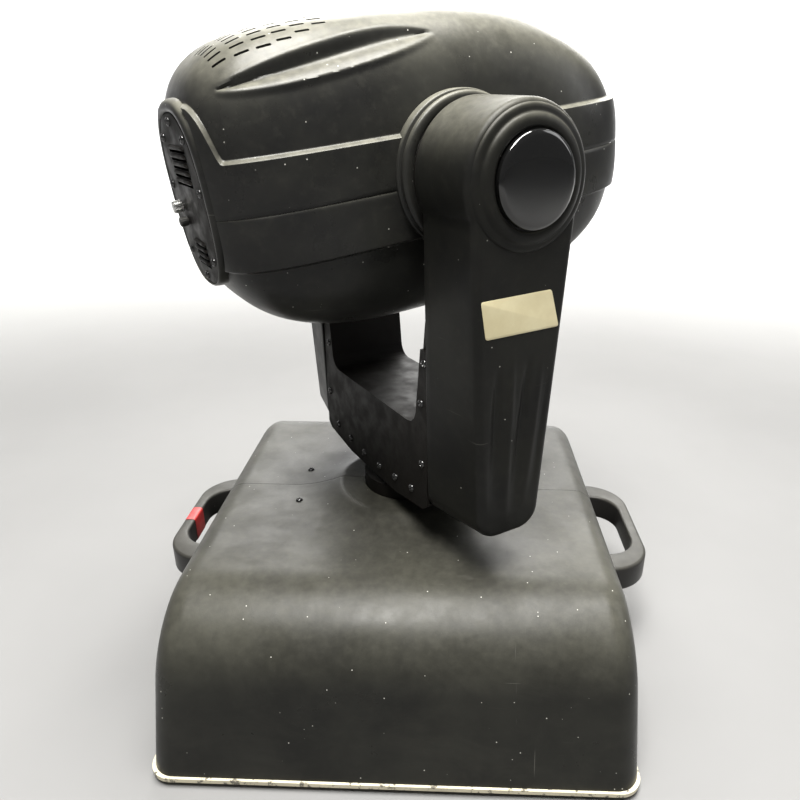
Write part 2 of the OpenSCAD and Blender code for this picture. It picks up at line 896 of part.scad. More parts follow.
// The outer form of the two shells, inset by d
module head_form(d) {
  intersection() {
    along_y(-100, 100) translate([head_mid, 0]) polygon(head_side(d));
    translate([head_mid, 0, -head_bottom - 5]) linear_extrude(head_top + head_bottom + 10)
      polygon(head_plan(head_half_w, d));
    along_x(-head_rear - 5, head_front + 5) polygon(head_section(d));
  }
}

// The raised band round the middle
module head_belt() {
  intersection() {
    translate([head_mid, 0, belt_bottom]) linear_extrude(belt_top - belt_bottom)
      polygon(head_plan(head_half_w + belt_proud, 0));
    along_y(-100, 100) translate([head_mid, 0]) polygon(head_side(0));
  }
}

module head_shell() {
  difference() {
    union() {
      head_form(0);
      head_belt();
      rod_y_axis(-ring_out, ring_out, ring_r);
    }
    head_form(wall);
    rod_y_axis(-2 * ring_out, 2 * ring_out, axle_r + 0.5);
    rod_x(head_front - 60, head_front + 10, bezel_r);
    translate([-head_rear - 20, -head_half_w, -head_bottom])
      cube([head_rear + 20 - shell_end, 2 * head_half_w, head_top + head_bottom]);
    for (row = [0, 1], i = [-3:3]) {
      translate([-150 + 26 * row, 14 * i, head_top - 40]) cylinder(h = 60, r = 3);
    }
  }
}

module head_top_shell() {
  color(black_plastic) in_head() intersection() {
    head_shell();
    translate([-250, -150, parting_z + seam / 2]) cube([500, 300, 200]);
  }
}

module head_bottom_shell() {
  color(black_plastic) in_head() intersection() {
    head_shell();
    translate([-250, -150, parting_z - seam / 2 - 200]) cube([500, 300, 200]);
  }
}

module front_bezel() {
  color(black_plastic) in_head() difference() {
    rod_x(bezel_x - bezel_len, bezel_x, bezel_r);
    rod_x(bezel_x - bezel_len - 1, bezel_x - 2, lens_r);
    rod_x(bezel_x - 5, bezel_x + 1, lens_r - 3);
  }
}

// A plano-convex lens with its dome towards the front
module front_lens() {
  dome_h = 9;
  dome_r = (lens_r * lens_r + dome_h * dome_h) / (2 * dome_h);
  color([0.75, 0.85, 0.9, 0.4]) in_head() translate([bezel_x - 16, 0, 0]) rotate([0, 90, 0]) {
    cylinder(h = 4, r = lens_r);
    translate([0, 0, 4]) intersection() {
      cylinder(h = dome_h, r = lens_r - 4);
      translate([0, 0, dome_h - dome_r]) sphere(dome_r, $fn = 96);
    }
  }
}

module rear_oval(grow) {
  translate([oval_z, 0])
    rounded_rect(2 * (oval_half_h + grow), 2 * (oval_half_w + grow), oval_half_w + grow - 6);
}

module rear_plate() {
  color(black_plastic) in_head() difference() {
    translate([-rear_plate_x, 0, 0]) rotate([0, 90, 0]) rotate([0, 0, 180])
      linear_extrude(rear_plate_x - shell_end) rear_oval(0);
    translate([rear_skin - rear_plate_x, 0, 0]) rotate([0, 90, 0]) rotate([0, 0, 180])
      linear_extrude(rear_plate_x) rear_oval(-3);
    translate([0, knob_y, knob_z]) rod_x(-rear_plate_x - 1, -shell_end, rod_r + run_fit);
    translate([0, lock_y, lock_z]) rod_x(-rear_plate_x - 1, -shell_end, rod_r + run_fit);
    for (p = head_screw_places) {
      translate([0, p[0], oval_z + p[1]]) rod_x(-rear_plate_x - 1, -shell_end, screw_r);
    }
    for (i = [0:4]) {
      translate([-rear_plate_x - 1, -28, 16 + 6 * i]) cube([10, 50, 2.5]);
    }
    for (i = [0:3]) {
      translate([-rear_plate_x - 1, -20, -46 + 5 * i]) cube([10, 34, 2]);
    }
  }
}

module head_screws() {
  color(black_metal) in_head() for (p = head_screw_places) {
    translate([-rear_plate_x, p[0], oval_z + p[1]]) rotate([0, -90, 0]) screw(rear_skin);
  }
}

// A turning knob outside the rear plate with its spindle inside
module rear_knob(y, z, r, proud) {
  in_head() translate([0, y, z]) {
    rod_x(-rear_plate_x - proud, -rear_plate_x - seam, r);
    rod_x(-rear_plate_x - seam, 12 - shell_end, rod_r);
  }
}

module lamp_adjust_knob() {
  color(bare_metal) rear_knob(knob_y, knob_z, 5, 9);
}

module lamp_lock_knob() {
  color(black_metal) rear_knob(lock_y, lock_z, 4, 7);
}

module head_chassis() {
  color(bare_metal) in_head() difference() {
    union() {
      for (side = [-1, 1]) {
        scale([1, side, 1]) translate([chassis_back, chassis_y - sheet, -38])
          cube([chassis_front - chassis_back, sheet, 76]);
      }
      translate([bulkhead_x, -chassis_y, -70]) cube([sheet, 2 * chassis_y, 140]);
      translate([30, -chassis_y, -50]) cube([sheet, 2 * chassis_y, 100]);
      translate([chassis_front - sheet, -chassis_y, -50]) cube([sheet, 2 * chassis_y, 100]);
      for (z = [-wheel_drop, wheel_drop]) {
        translate([0, 0, z]) rod_x(bulkhead_x, -32, wheel_pin_r);
      }
      for (y = [-rod_y, rod_y]) {
        translate([0, y, 0]) rod_x(30, chassis_front, rod_r);
      }
    }
    rod_x(bulkhead_x - 10, bulkhead_x + 10, 25);
    rod_x(20, 40, 30);
    rod_x(chassis_front - 10, chassis_front + 10, 38);
  }
}

module tilt_axles() {
  color(bare_metal) in_head() difference() {
    union() {
      rod_y_axis(-tilt_pulley_y - pulley_w, -chassis_y, axle_r);
      rod_y_axis(chassis_y, gap_half_high + bearing_w + 3, axle_r);
      for (side = [-1, 1]) {
        scale([1, side, 1]) rod_y_axis(chassis_y, chassis_y + 4, 2 * axle_r);
      }
    }
    rod_y_axis(-200, 200, axle_bore);
  }
}

module tilt_pulley() {
  color(bare_metal) in_head() translate([0, -tilt_pulley_y, 0]) rotate([90, 0, 0])
    pulley(pulley_r, pulley_flange_r, axle_r, pulley_w);
}

module lamp() {
  color([0.9, 0.92, 0.95]) in_head() {
    rod_x(-150, -138, 12);
    rod_x(-138, -100, 5);
    translate([-92, 0, 0]) sphere(11);
    rod_x(-84, -70, 4);
  }
}

module lamp_holder() {
  color([0.85, 0.83, 0.78]) in_head() difference() {
    union() {
      rod_x(-168, -148, 20);
      translate([-171, -chassis_y + sheet, -20]) cube([3, 2 * (chassis_y - sheet), 40]);
      for (side = [-1, 1]) {
        scale([1, side, 1]) translate([-171, chassis_y - 2 * sheet, -20]) cube([40, sheet, 40]);
      }
    }
    rod_x(-150, -140, 12);
  }
}

// An ellipsoid bowl round the lamp, with its rim on the chassis bulkhead
module reflector() {
  bowl = 50;
  skin = 2.5;
  bowl_profile = concat(
    [for (i = [0:8]) [bowl * cos(8.5 * i), (bowl + 4) * sin(8.5 * i)]],
    [for (i = [8:-1:0]) [(bowl + skin) * cos(8.5 * i), (bowl + 4 + skin) * sin(8.5 * i)]]
  );
  color([0.8, 0.82, 0.85]) in_head() translate([bulkhead_x, 0, 0]) rotate([0, -90, 0])
    rotate_extrude() polygon(bowl_profile);
}

// A wheel of openings that turns on a pin of the chassis
module effect_wheel(x, z, r, hole_r, holes) {
  in_head() translate([x, 0, z]) difference() {
    union() {
      rod_x(0, 2, r);
      rod_x(-3, 5, 10);
    }
    rod_x(-5, 10, wheel_pin_r + run_fit);
    for (i = [1:holes]) {
      rotate([360 * i / holes, 0, 0]) translate([0, 0, -sign(z) * wheel_drop]) rod_x(-1, 3, hole_r);
    }
  }
}

module colour_wheel() {
  color([0.3, 0.4, 0.7]) effect_wheel(-52, -wheel_drop, 60, 13, 9);
}

module gobo_wheel() {
  color(bare_metal) effect_wheel(-41, wheel_drop, 58, 11, 7);
}

// A lens cell that slides on the two rods of the chassis
module focus_lens() {
  color([0.6, 0.7, 0.75]) in_head() translate([66, 0, 0]) difference() {
    union() {
      rod_x(0, 10, 32);
      translate([0, -rod_y - 7, -7]) cube([10, 2 * rod_y + 14, 14]);
    }
    for (y = [-rod_y, rod_y]) {
      translate([0, y, 0]) rod_x(-1, 11, rod_r + run_fit);
    }
    rod_x(-1, 2, 28);
    rod_x(8, 11, 28);
  }
}

base_plate();
rubber_feet();
front_cover();
rear_cover();
cover_screws();
left_handle();
right_handle();
handle_screws();
chassis_bridge();
turret_collar();
pan_tube();
pan_pulley();
control_panel();
display_window();
power_inlet();
fuse_holder();
dmx_in_socket();
dmx_out_socket();
power_switch();
menu_button_1();
menu_button_2();
menu_button_3();
menu_button_4();
ballast();
power_supply();
control_board();
yoke_frame();
yoke_front_plate();
yoke_rear_plate();
near_arm_cover();
far_arm_cover();
near_pivot_cap();
far_pivot_cap();
arm_label();
yoke_screws();
pan_bearing();
pan_motor();
pan_pinion();
pan_belt();
tilt_motor();
tilt_pinion();
tilt_belt();
tilt_bearings();
head_top_shell();
head_bottom_shell();
front_bezel();
front_lens();
rear_plate();
head_screws();
lamp_adjust_knob();
lamp_lock_knob();
head_chassis();
tilt_axles();
tilt_pulley();
lamp();
lamp_holder();
reflector();
colour_wheel();
gobo_wheel();
focus_lens();
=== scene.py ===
import json
import math

import bmesh
import bpy
import numpy as np
from mathutils import Matrix, Vector


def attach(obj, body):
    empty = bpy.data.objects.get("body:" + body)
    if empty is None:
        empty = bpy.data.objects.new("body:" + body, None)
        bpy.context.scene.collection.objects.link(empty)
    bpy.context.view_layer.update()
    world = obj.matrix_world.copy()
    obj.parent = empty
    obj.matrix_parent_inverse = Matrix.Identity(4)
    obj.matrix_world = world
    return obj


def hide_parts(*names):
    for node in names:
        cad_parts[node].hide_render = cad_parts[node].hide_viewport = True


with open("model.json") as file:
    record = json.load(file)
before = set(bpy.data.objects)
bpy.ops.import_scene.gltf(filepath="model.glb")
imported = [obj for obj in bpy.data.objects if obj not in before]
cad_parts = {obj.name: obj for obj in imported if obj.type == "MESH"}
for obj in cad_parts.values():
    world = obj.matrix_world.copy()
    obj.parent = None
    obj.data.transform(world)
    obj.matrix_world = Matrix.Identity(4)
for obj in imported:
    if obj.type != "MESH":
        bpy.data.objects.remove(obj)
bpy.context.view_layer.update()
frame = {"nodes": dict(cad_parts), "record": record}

# Sizes in millimetres, angles in degrees. Local axes are the CAD's: +X ahead, near arm on -Y.
MM = 0.001
PAN = 33.0
TILT = 7.5
TILT_Z = 490.0
BASE = Matrix.Identity(4)
YOKE = Matrix.Rotation(math.radians(PAN), 4, "Z")
HEAD = YOKE @ Matrix.Translation((0, 0, TILT_Z)) @ Matrix.Rotation(math.radians(-TILT), 4, "Y")
RNG = np.random.default_rng(7)
TURN = 2 * math.pi
# Walls of the head and arm covers, and of the base covers
COVER_WALL, BASE_WALL = 2.8, 3.0


def placed(name, data):
    obj = bpy.data.objects.new(name, data)
    bpy.context.scene.collection.objects.link(obj)
    return obj


# ---- Camera and lights ----

# Camera angles in radians, place and clipping in metres
PITCH, YAW, ROLL = 0.3999, -0.0321, 0.0049
CAMERA_AT = (0.03973, -0.63941, 0.53081)
FOCAL_PIXELS, FRAME_PIXELS, SENSOR = 672.34, 800, 36
SHIFT_X = -0.033
CLIP_NEAR, CLIP_FAR = 0.05, 50

WHITE = (1.0, 1.0, 1.0)
WINDOW = (1.0, 0.985, 0.94)
WARM = (1.0, 0.985, 0.95)
WORLD_LIGHT = 0.16
# Name, place, aim and size in metres, power in watts, colour
LIGHTS = (
    ("back_window", (0.1, 2.0, 1.8), (0, 0, 0.35), (2.6, 1.1), 78, WINDOW),
    ("top_soft", (0.1, -0.15, 2.3), (0, 0, 0.3), (1.3, 0.8), 120, WARM),
    ("fore_soft", (-0.1, -0.9, 2.2), (0, 0, 0.55), (0.9, 0.5), 62, WARM),
    ("right_soft", (1.9, 0.2, 1.3), (0, 0, 0.35), (0.7, 1.2), 7, WHITE),
    ("wall_wash", (0, 3.4, 3.6), (0, 6.0, 1.8), (6.0, 1.0), 420, WHITE))


def make_camera():
    cp, sp, cy, sy = math.cos(PITCH), math.sin(PITCH), math.cos(YAW), math.sin(YAW)
    ahead = Vector((sy * cp, cy * cp, -sp))
    right = Vector((cy, -sy, 0))
    up = right.cross(ahead)
    cr, sr = math.cos(ROLL), math.sin(ROLL)
    x, y = right * cr + up * sr, up * cr - right * sr
    data = bpy.data.cameras.new("camera")
    data.sensor_width = SENSOR
    data.lens = FOCAL_PIXELS / FRAME_PIXELS * SENSOR
    data.shift_x = SHIFT_X
    data.clip_start, data.clip_end = CLIP_NEAR, CLIP_FAR
    cam = placed("camera", data)
    cam.matrix_world = Matrix((
        (x.x, y.x, -ahead.x, CAMERA_AT[0]), (x.y, y.y, -ahead.y, CAMERA_AT[1]),
        (x.z, y.z, -ahead.z, CAMERA_AT[2]), (0, 0, 0, 1)))
    bpy.context.scene.camera = cam


def area_light(name, place, aim, size, power, colour):
    data = bpy.data.lights.new(name, "AREA")
    data.shape = "RECTANGLE"
    data.size, data.size_y = size
    data.energy = power
    data.color = colour
    lamp = placed(name, data)
    lamp.location = place
    lamp.rotation_euler = (Vector(aim) - Vector(place)).to_track_quat("-Z", "Y").to_euler()


def make_world():
    world = bpy.data.worlds.new("studio")
    bpy.context.scene.world = world
    world.use_nodes = True
    nodes, links = world.node_tree.nodes, world.node_tree.links
    nodes.clear()
    out = nodes.new("ShaderNodeOutputWorld")
    back = nodes.new("ShaderNodeBackground")
    back.inputs["Color"].default_value = (*WHITE, 1)
    back.inputs["Strength"].default_value = WORLD_LIGHT
    links.new(back.outputs[0], out.inputs[0])


# ---- Materials ----

class Shader:
    """A Principled material and short ways to add nodes to it."""

    def __init__(self, name, rough=0.5, **sockets):
        self.mat = bpy.data.materials.new(name)
        self.mat.use_nodes = True
        self.nodes, self.links = self.mat.node_tree.nodes, self.mat.node_tree.links
        self.bsdf = self.nodes["Principled BSDF"]
        self.bsdf.inputs["Roughness"].default_value = rough
        for key, value in sockets.items():
            self.bsdf.inputs[key.replace("_", " ")].default_value = value
        self.coord = self.nodes.new("ShaderNodeTexCoord")

    def put(self, socket, source):
        self.links.new(source, self.bsdf.inputs[socket])

    def stretched(self, scale, turn=(0, 0, 0)):
        node = self.nodes.new("ShaderNodeMapping")
        node.inputs["Scale"].default_value = scale
        node.inputs["Rotation"].default_value = turn
        self.links.new(self.coord.outputs["Object"], node.inputs["Vector"])
        return node.outputs[0]

    def noise(self, scale, detail=4, rough=0.55, vector=None, distortion=0):
        node = self.nodes.new("ShaderNodeTexNoise")
        node.inputs["Scale"].default_value = scale
        node.inputs["Detail"].default_value = detail
        node.inputs["Roughness"].default_value = rough
        node.inputs["Distortion"].default_value = distortion
        self.links.new(vector or self.coord.outputs["Object"], node.inputs["Vector"])
        return node.outputs["Fac"]

    def cells(self, scale):
        node = self.nodes.new("ShaderNodeTexVoronoi")
        node.inputs["Scale"].default_value = scale
        self.links.new(self.coord.outputs["Object"], node.inputs["Vector"])
        return node

    def ramp(self, source, low, high, a=0.0, b=1.0):
        """Takes the source from low to high softly over to a to b."""
        node = self.nodes.new("ShaderNodeMapRange")
        node.interpolation_type = "SMOOTHSTEP"
        node.inputs["From Min"].default_value = low
        node.inputs["From Max"].default_value = high
        node.inputs["To Min"].default_value = a
        node.inputs["To Max"].default_value = b
        self.links.new(source, node.inputs["Value"])
        return node.outputs[0]

    def maths(self, how, a, b):
        node = self.nodes.new("ShaderNodeMath")
        node.operation = how
        for i, v in enumerate((a, b)):
            if isinstance(v, (int, float)):
                node.inputs[i].default_value = v
            else:
                self.links.new(v, node.inputs[i])
        return node.outputs[0]

    def plus(self, a, b):
        return self.maths("ADD", a, b)

    def times(self, a, b):
        return self.maths("MULTIPLY", a, b)

    def mix(self, share, a, b):
        node = self.nodes.new("ShaderNodeMix")
        node.data_type = "RGBA"
        self.links.new(share, node.inputs["Factor"])
        for key, v in (("A", a), ("B", b)):
            socket = [s for s in node.inputs if s.name == key and s.type == "RGBA"][0]
            if isinstance(v, tuple):
                socket.default_value = (*v, 1)
            else:
                self.links.new(v, socket)
        return [s for s in node.outputs if s.type == "RGBA"][0]

    def up(self):
        """How far the surface faces up at rest, from -1 to 1."""
        node = self.nodes.new("ShaderNodeSeparateXYZ")
        self.links.new(self.coord.outputs["Normal"], node.inputs[0])
        return node.outputs["Z"]

    def bump(self, *layers):
        """layers: (height source, strength, distance in metres)"""
        last = None
        for height, strength, distance in layers:
            node = self.nodes.new("ShaderNodeBump")
            node.inputs["Strength"].default_value = strength
            node.inputs["Distance"].default_value = distance
            self.links.new(height, node.inputs["Height"])
            if last is not None:
                self.links.new(last, node.inputs["Normal"])
            last = node.outputs[0]
        self.put("Normal", last)


# Colour of the dust film, also used as painted light that makes upward faces paler
DUST_AND_TOP_LIGHT = (0.27, 0.262, 0.21)
SCRATCH = (0.34, 0.33, 0.30)
SPECK = (0.62, 0.61, 0.56)


def moulded(name, dark, light, rough, dust_and_top_light, specks, grain=0.25, smear=0.0, gloss=0.3):
    """Black moulded plastic with mottling, dust on top that is also painted light making the upward faces
    paler, small white specks and fine scratches.
    """
    s = Shader(name, rough=rough[0], Specular_IOR_Level=gloss)
    broad = s.noise(9, 5, 0.6)
    fine = s.noise(130, 4, 0.6)
    colour = s.mix(s.ramp(broad, 0.3, 0.7), dark, light)
    # Dust lies where the surface faces up at rest, and as smears and spots anywhere. On upward faces the pale
    # film is also painted light, making the tops paler as if lit from above
    patchy = s.ramp(s.plus(s.times(broad, 0.5), s.times(fine, 0.5)), 0.25, 0.75, 0.35, 1)
    settled_dust_and_top_light = s.times(s.ramp(s.up(), 0.15, 0.95), s.times(patchy, dust_and_top_light))
    dust_film_and_top_light = s.plus(settled_dust_and_top_light, s.times(s.ramp(fine, 0.5, 0.75), dust_and_top_light * 0.04))
    wiped = s.ramp(s.noise(11, 7, 0.72, s.stretched((1.0, 1.0, 1.7)), 1.2), 0.42, 0.72)
    spots = s.ramp(s.noise(55, 6, 0.75), 0.55, 0.78)
    dust_film_and_top_light = s.plus(dust_film_and_top_light, s.times(s.plus(wiped, s.times(spots, 0.7)), smear))
    colour = s.mix(dust_film_and_top_light, colour, DUST_AND_TOP_LIGHT)
    # Scratches run two ways
    one = s.noise(1, 3, 0.5, s.stretched((14, 14, 420), (0.4, 0.9, 0.3)))
    two = s.noise(1, 3, 0.5, s.stretched((380, 16, 16), (0.1, 0.5, 0.7)))
    lines = s.maths("MAXIMUM", s.ramp(one, 0.73, 0.80), s.ramp(two, 0.74, 0.81))
    colour = s.mix(s.times(lines, 0.12), colour, SCRATCH)
    # A share of the cells has a small dot
    cell = s.cells(150)
    chosen = s.nodes.new("ShaderNodeSeparateXYZ")
    s.links.new(cell.outputs["Color"], chosen.inputs[0])
    dots = s.times(s.ramp(cell.outputs["Distance"], 0.10, 0.05),
                   s.ramp(chosen.outputs["X"], 1 - specks, 1 - specks + 0.01))
    s.put("Base Color", s.mix(s.times(dots, 0.75), colour, SPECK))
    roughness = s.ramp(s.noise(24, 5, 0.65), 0.3, 0.7, rough[0], rough[1])
    s.put("Roughness", s.plus(roughness, s.times(dust_film_and_top_light, 0.25)))
    s.bump((s.noise(22, 3, 0.5), 0.35, 0.0012), (s.noise(900, 2, 0.5), grain, 0.00012),
           (lines, 0.1, 0.0002))
    return s.mat


def metal(name, colour, rough, grain=(2, 2, 260)):
    """Bare metal, brushed by the grain's stretch, with duller stains."""
    s = Shader(name, rough=rough, Metallic=1.0)
    brushed = s.noise(1, 4, 0.6, s.stretched(grain))
    stain = s.noise(40, 5, 0.6)
    dull = tuple(c * 0.62 for c in colour)
    s.put("Base Color", s.mix(s.ramp(stain, 0.35, 0.75), colour, dull))
    s.put("Roughness", s.plus(s.ramp(brushed, 0.3, 0.7, rough * 0.7, rough * 1.3),
                              s.times(s.ramp(stain, 0.5, 0.8), 0.15)))
    s.bump((brushed, 0.12, 0.0002))
    return s.mat


def painted(name, colour, rough, chip_colour, chips, peel=0.25, gloss=0.5):
    """Paint with a slight orange peel and small chips."""
    s = Shader(name, rough=rough, Specular_IOR_Level=gloss)
    broad = s.noise(18, 5, 0.6)
    shade = s.mix(s.ramp(broad, 0.3, 0.75), colour, tuple(c * 0.72 for c in colour))
    chipped = s.ramp(s.noise(160, 5, 0.7), 0.72 - chips, 0.74 - chips)
    s.put("Base Color", s.mix(s.times(chipped, 0.85), shade, chip_colour))
    s.put("Roughness", s.ramp(s.noise(60, 4), 0.3, 0.7, rough * 0.8, min(1, rough * 1.25)))
    s.bump((s.noise(700, 2), peel, 0.0001), (chipped, 0.2, 0.0002))
    return s.mat


def blended(name, rough, tint, shine, relief=None, **sockets):
    """Two colours and a range of roughness, each spread by a noise of its own.
    tint: (noise, low, high, colour, colour). shine: (noise, low, high, least, most).
    relief: (noise, strength, distance in metres)."""
    s = Shader(name, rough=rough, **sockets)
    s.put("Base Color", s.mix(s.ramp(s.noise(*tint[0]), *tint[1:3]), *tint[3:]))
    s.put("Roughness", s.ramp(s.noise(*shine[0]), *shine[1:]))
    if relief:
        s.bump((s.noise(*relief[0]), *relief[1:]))
    return s.mat


# Dark and light colour, roughness range, dust with painted top light, share of specks, other settings
PLASTICS = {
    "cover_plastic": ((0.007, 0.007, 0.007), (0.012, 0.012, 0.010), (0.32, 0.46), 0.28, 0.10,
                      {"smear": 0.005, "gloss": 0.13}),
    "base_plastic": ((0.009, 0.009, 0.008), (0.018, 0.018, 0.015), (0.27, 0.42), 0.15, 0.16,
                     {"smear": 0.018, "gloss": 0.18}),
    "head_plastic": ((0.010, 0.010, 0.010), (0.022, 0.022, 0.019), (0.25, 0.40), 0.50, 0.20,
                     {"smear": 0.012, "gloss": 0.22}),
    "handle_plastic": ((0.014, 0.014, 0.013), (0.020, 0.019, 0.018), (0.30, 0.44), 0.10, 0.04,
                       {"grain": 0.1, "gloss": 0.2}),
    "button_plastic": ((0.10, 0.10, 0.10), (0.16, 0.16, 0.155), (0.4, 0.55), 0.1, 0.02, {}),
    "black_resin": ((0.010, 0.010, 0.010), (0.018, 0.018, 0.017), (0.4, 0.55), 0.12, 0.03, {}),
    "foot_rubber": ((0.012, 0.012, 0.012), (0.02, 0.02, 0.02), (0.7, 0.85), 0.2, 0.05,
                    {"grain": 0.4}),
    "belt_rubber": ((0.010, 0.010, 0.010), (0.018, 0.018, 0.018), (0.6, 0.8), 0.1, 0.02,
                    {"grain": 0.4})}
# Colour, roughness, colour under the chips, amount of chips, other settings
PAINTS = {
    "cream_paint": ((0.62, 0.57, 0.42), 0.4, (0.05, 0.045, 0.04), 0.16, {}),
    "black_steel": ((0.008, 0.007, 0.006), 0.5, (0.11, 0.10, 0.09), 0.0, {"gloss": 0.12}),
    "screw_black": ((0.012, 0.012, 0.012), 0.22, (0.4, 0.4, 0.4), 0.08, {"peel": 0.1, "gloss": 0.8}),
    "motor_paint": ((0.015, 0.015, 0.015), 0.3, (0.2, 0.2, 0.2), 0.02, {}),
    "iron_core": ((0.09, 0.085, 0.08), 0.45, (0.22, 0.12, 0.06), 0.12, {}),
    "circuit_board": ((0.02, 0.11, 0.045), 0.35, (0.3, 0.28, 0.2), 0.05, {"peel": 0.05}),
    "ceramic": ((0.72, 0.69, 0.62), 0.6, (0.4, 0.36, 0.3), 0.06, {})}
# Colour, roughness, stretch of the grain
METALS = {
    "bare_steel": ((0.56, 0.56, 0.55), 0.32, (2, 2, 260)),
    "connector_zinc": ((0.60, 0.59, 0.56), 0.28, (120, 120, 120)),
    "aluminium": ((0.78, 0.78, 0.79), 0.3, (200, 2, 2)),
    "knob_steel": ((0.70, 0.70, 0.68), 0.2, (60, 60, 60)),
    "reflector_mirror": ((0.88, 0.88, 0.90), 0.08, (30, 30, 30))}
# Colour, roughness
GLASSES = {"lens_glass": ((0.86, 0.92, 0.95), 0.02), "lamp_glass": ((0.95, 0.96, 0.97), 0.01)}
GLASS_IOR = 1.52
# The floor's colour is painted light and shade: dark round the object as painted shade that also keeps bounce
# light low, and pale further out so the far floor looks brightly lit where the lamps fall off. Colours, and
# from where to where in metres it changes
FLOOR_SHADE_NEAR, FLOOR_SHADE_NEAR_2, FLOOR_LIT_FAR = (0.20, 0.20, 0.20), (0.19, 0.19, 0.19), (0.85, 0.85, 0.85)
FLOOR_FROM, FLOOR_TO = 0.8, 3.4


def floor_material():
    s = Shader("floor_pale", rough=0.8, Specular_IOR_Level=0.1)
    far = s.nodes.new("ShaderNodeVectorMath")
    far.operation = "LENGTH"
    s.links.new(s.coord.outputs["Object"], far.inputs[0])
    # Painted shade near the object, fading to a pale floor painted as if evenly lit far out
    shaded_ground = s.mix(s.ramp(s.noise(3, 4), 0.3, 0.7), FLOOR_SHADE_NEAR, FLOOR_SHADE_NEAR_2)
    s.put("Base Color", s.mix(s.ramp(far.outputs["Value"], FLOOR_FROM, FLOOR_TO), shaded_ground, FLOOR_LIT_FAR))
    return s.mat


def make_materials():
    m = {}
    for name, (*values, options) in PLASTICS.items():
        m[name] = moulded(name, *values, **options)
    for name, (*values, options) in PAINTS.items():
        m[name] = painted(name, *values, **options)
    for name, values in METALS.items():
        m[name] = metal(name, *values)
    for name, (tint, rough) in GLASSES.items():
        m[name] = blended(name, rough, ((30, 4), 0.45, 0.8, tint, tuple(c * 0.93 for c in tint)),
                          ((80, 5, 0.7), 0.5, 0.8, rough, rough + 0.08),
                          Transmission_Weight=1.0, IOR=GLASS_IOR)
    m["disc_gloss"] = blended(
        "disc_gloss", 0.06, ((30, 5), 0.4, 0.8, (0.004, 0.004, 0.004), (0.009, 0.009, 0.008)),
        ((70, 5, 0.7), 0.4, 0.8, 0.05, 0.16), ((45, 2), 0.05, 0.0004), Coat_Weight=0.6, Coat_Roughness=0.03)
    m["label_cream"] = blended(
        "label_cream", 0.35, ((40, 5, 0.6), 0.3, 0.75, (0.66, 0.60, 0.39), (0.58, 0.51, 0.31)),
        ((120, 3), 0.3, 0.7, 0.28, 0.45), ((300, 3), 0.1, 0.0001))
    m["display_plastic"] = blended(
        "display_plastic", 0.08, ((50, 4), 0.3, 0.8, (0.035, 0.004, 0.004), (0.05, 0.008, 0.007)),
        ((90, 4), 0.4, 0.8, 0.06, 0.2))
    m["tape_red"] = blended(
        "tape_red", 0.4, ((45, 5), 0.3, 0.75, (0.42, 0.02, 0.02), (0.26, 0.012, 0.012)),
        ((100, 4), 0.3, 0.7, 0.32, 0.5), ((260, 3), 0.25, 0.0002))
    m["floor_pale"] = floor_material()
    return m


MATS = make_materials()


# ---- Mesh building ----

# Distances in metres within which points are one, and under which an edge has no length
WELD, WELD_CUTTER, THIN = 2e-6, 1e-6, 1e-6


def as_points(matrix, points):
    m = np.array(matrix)
    p = np.asarray(points, float).reshape(-1, 3)
    return (p @ m[:3, :3].T + m[:3, 3]) * MM


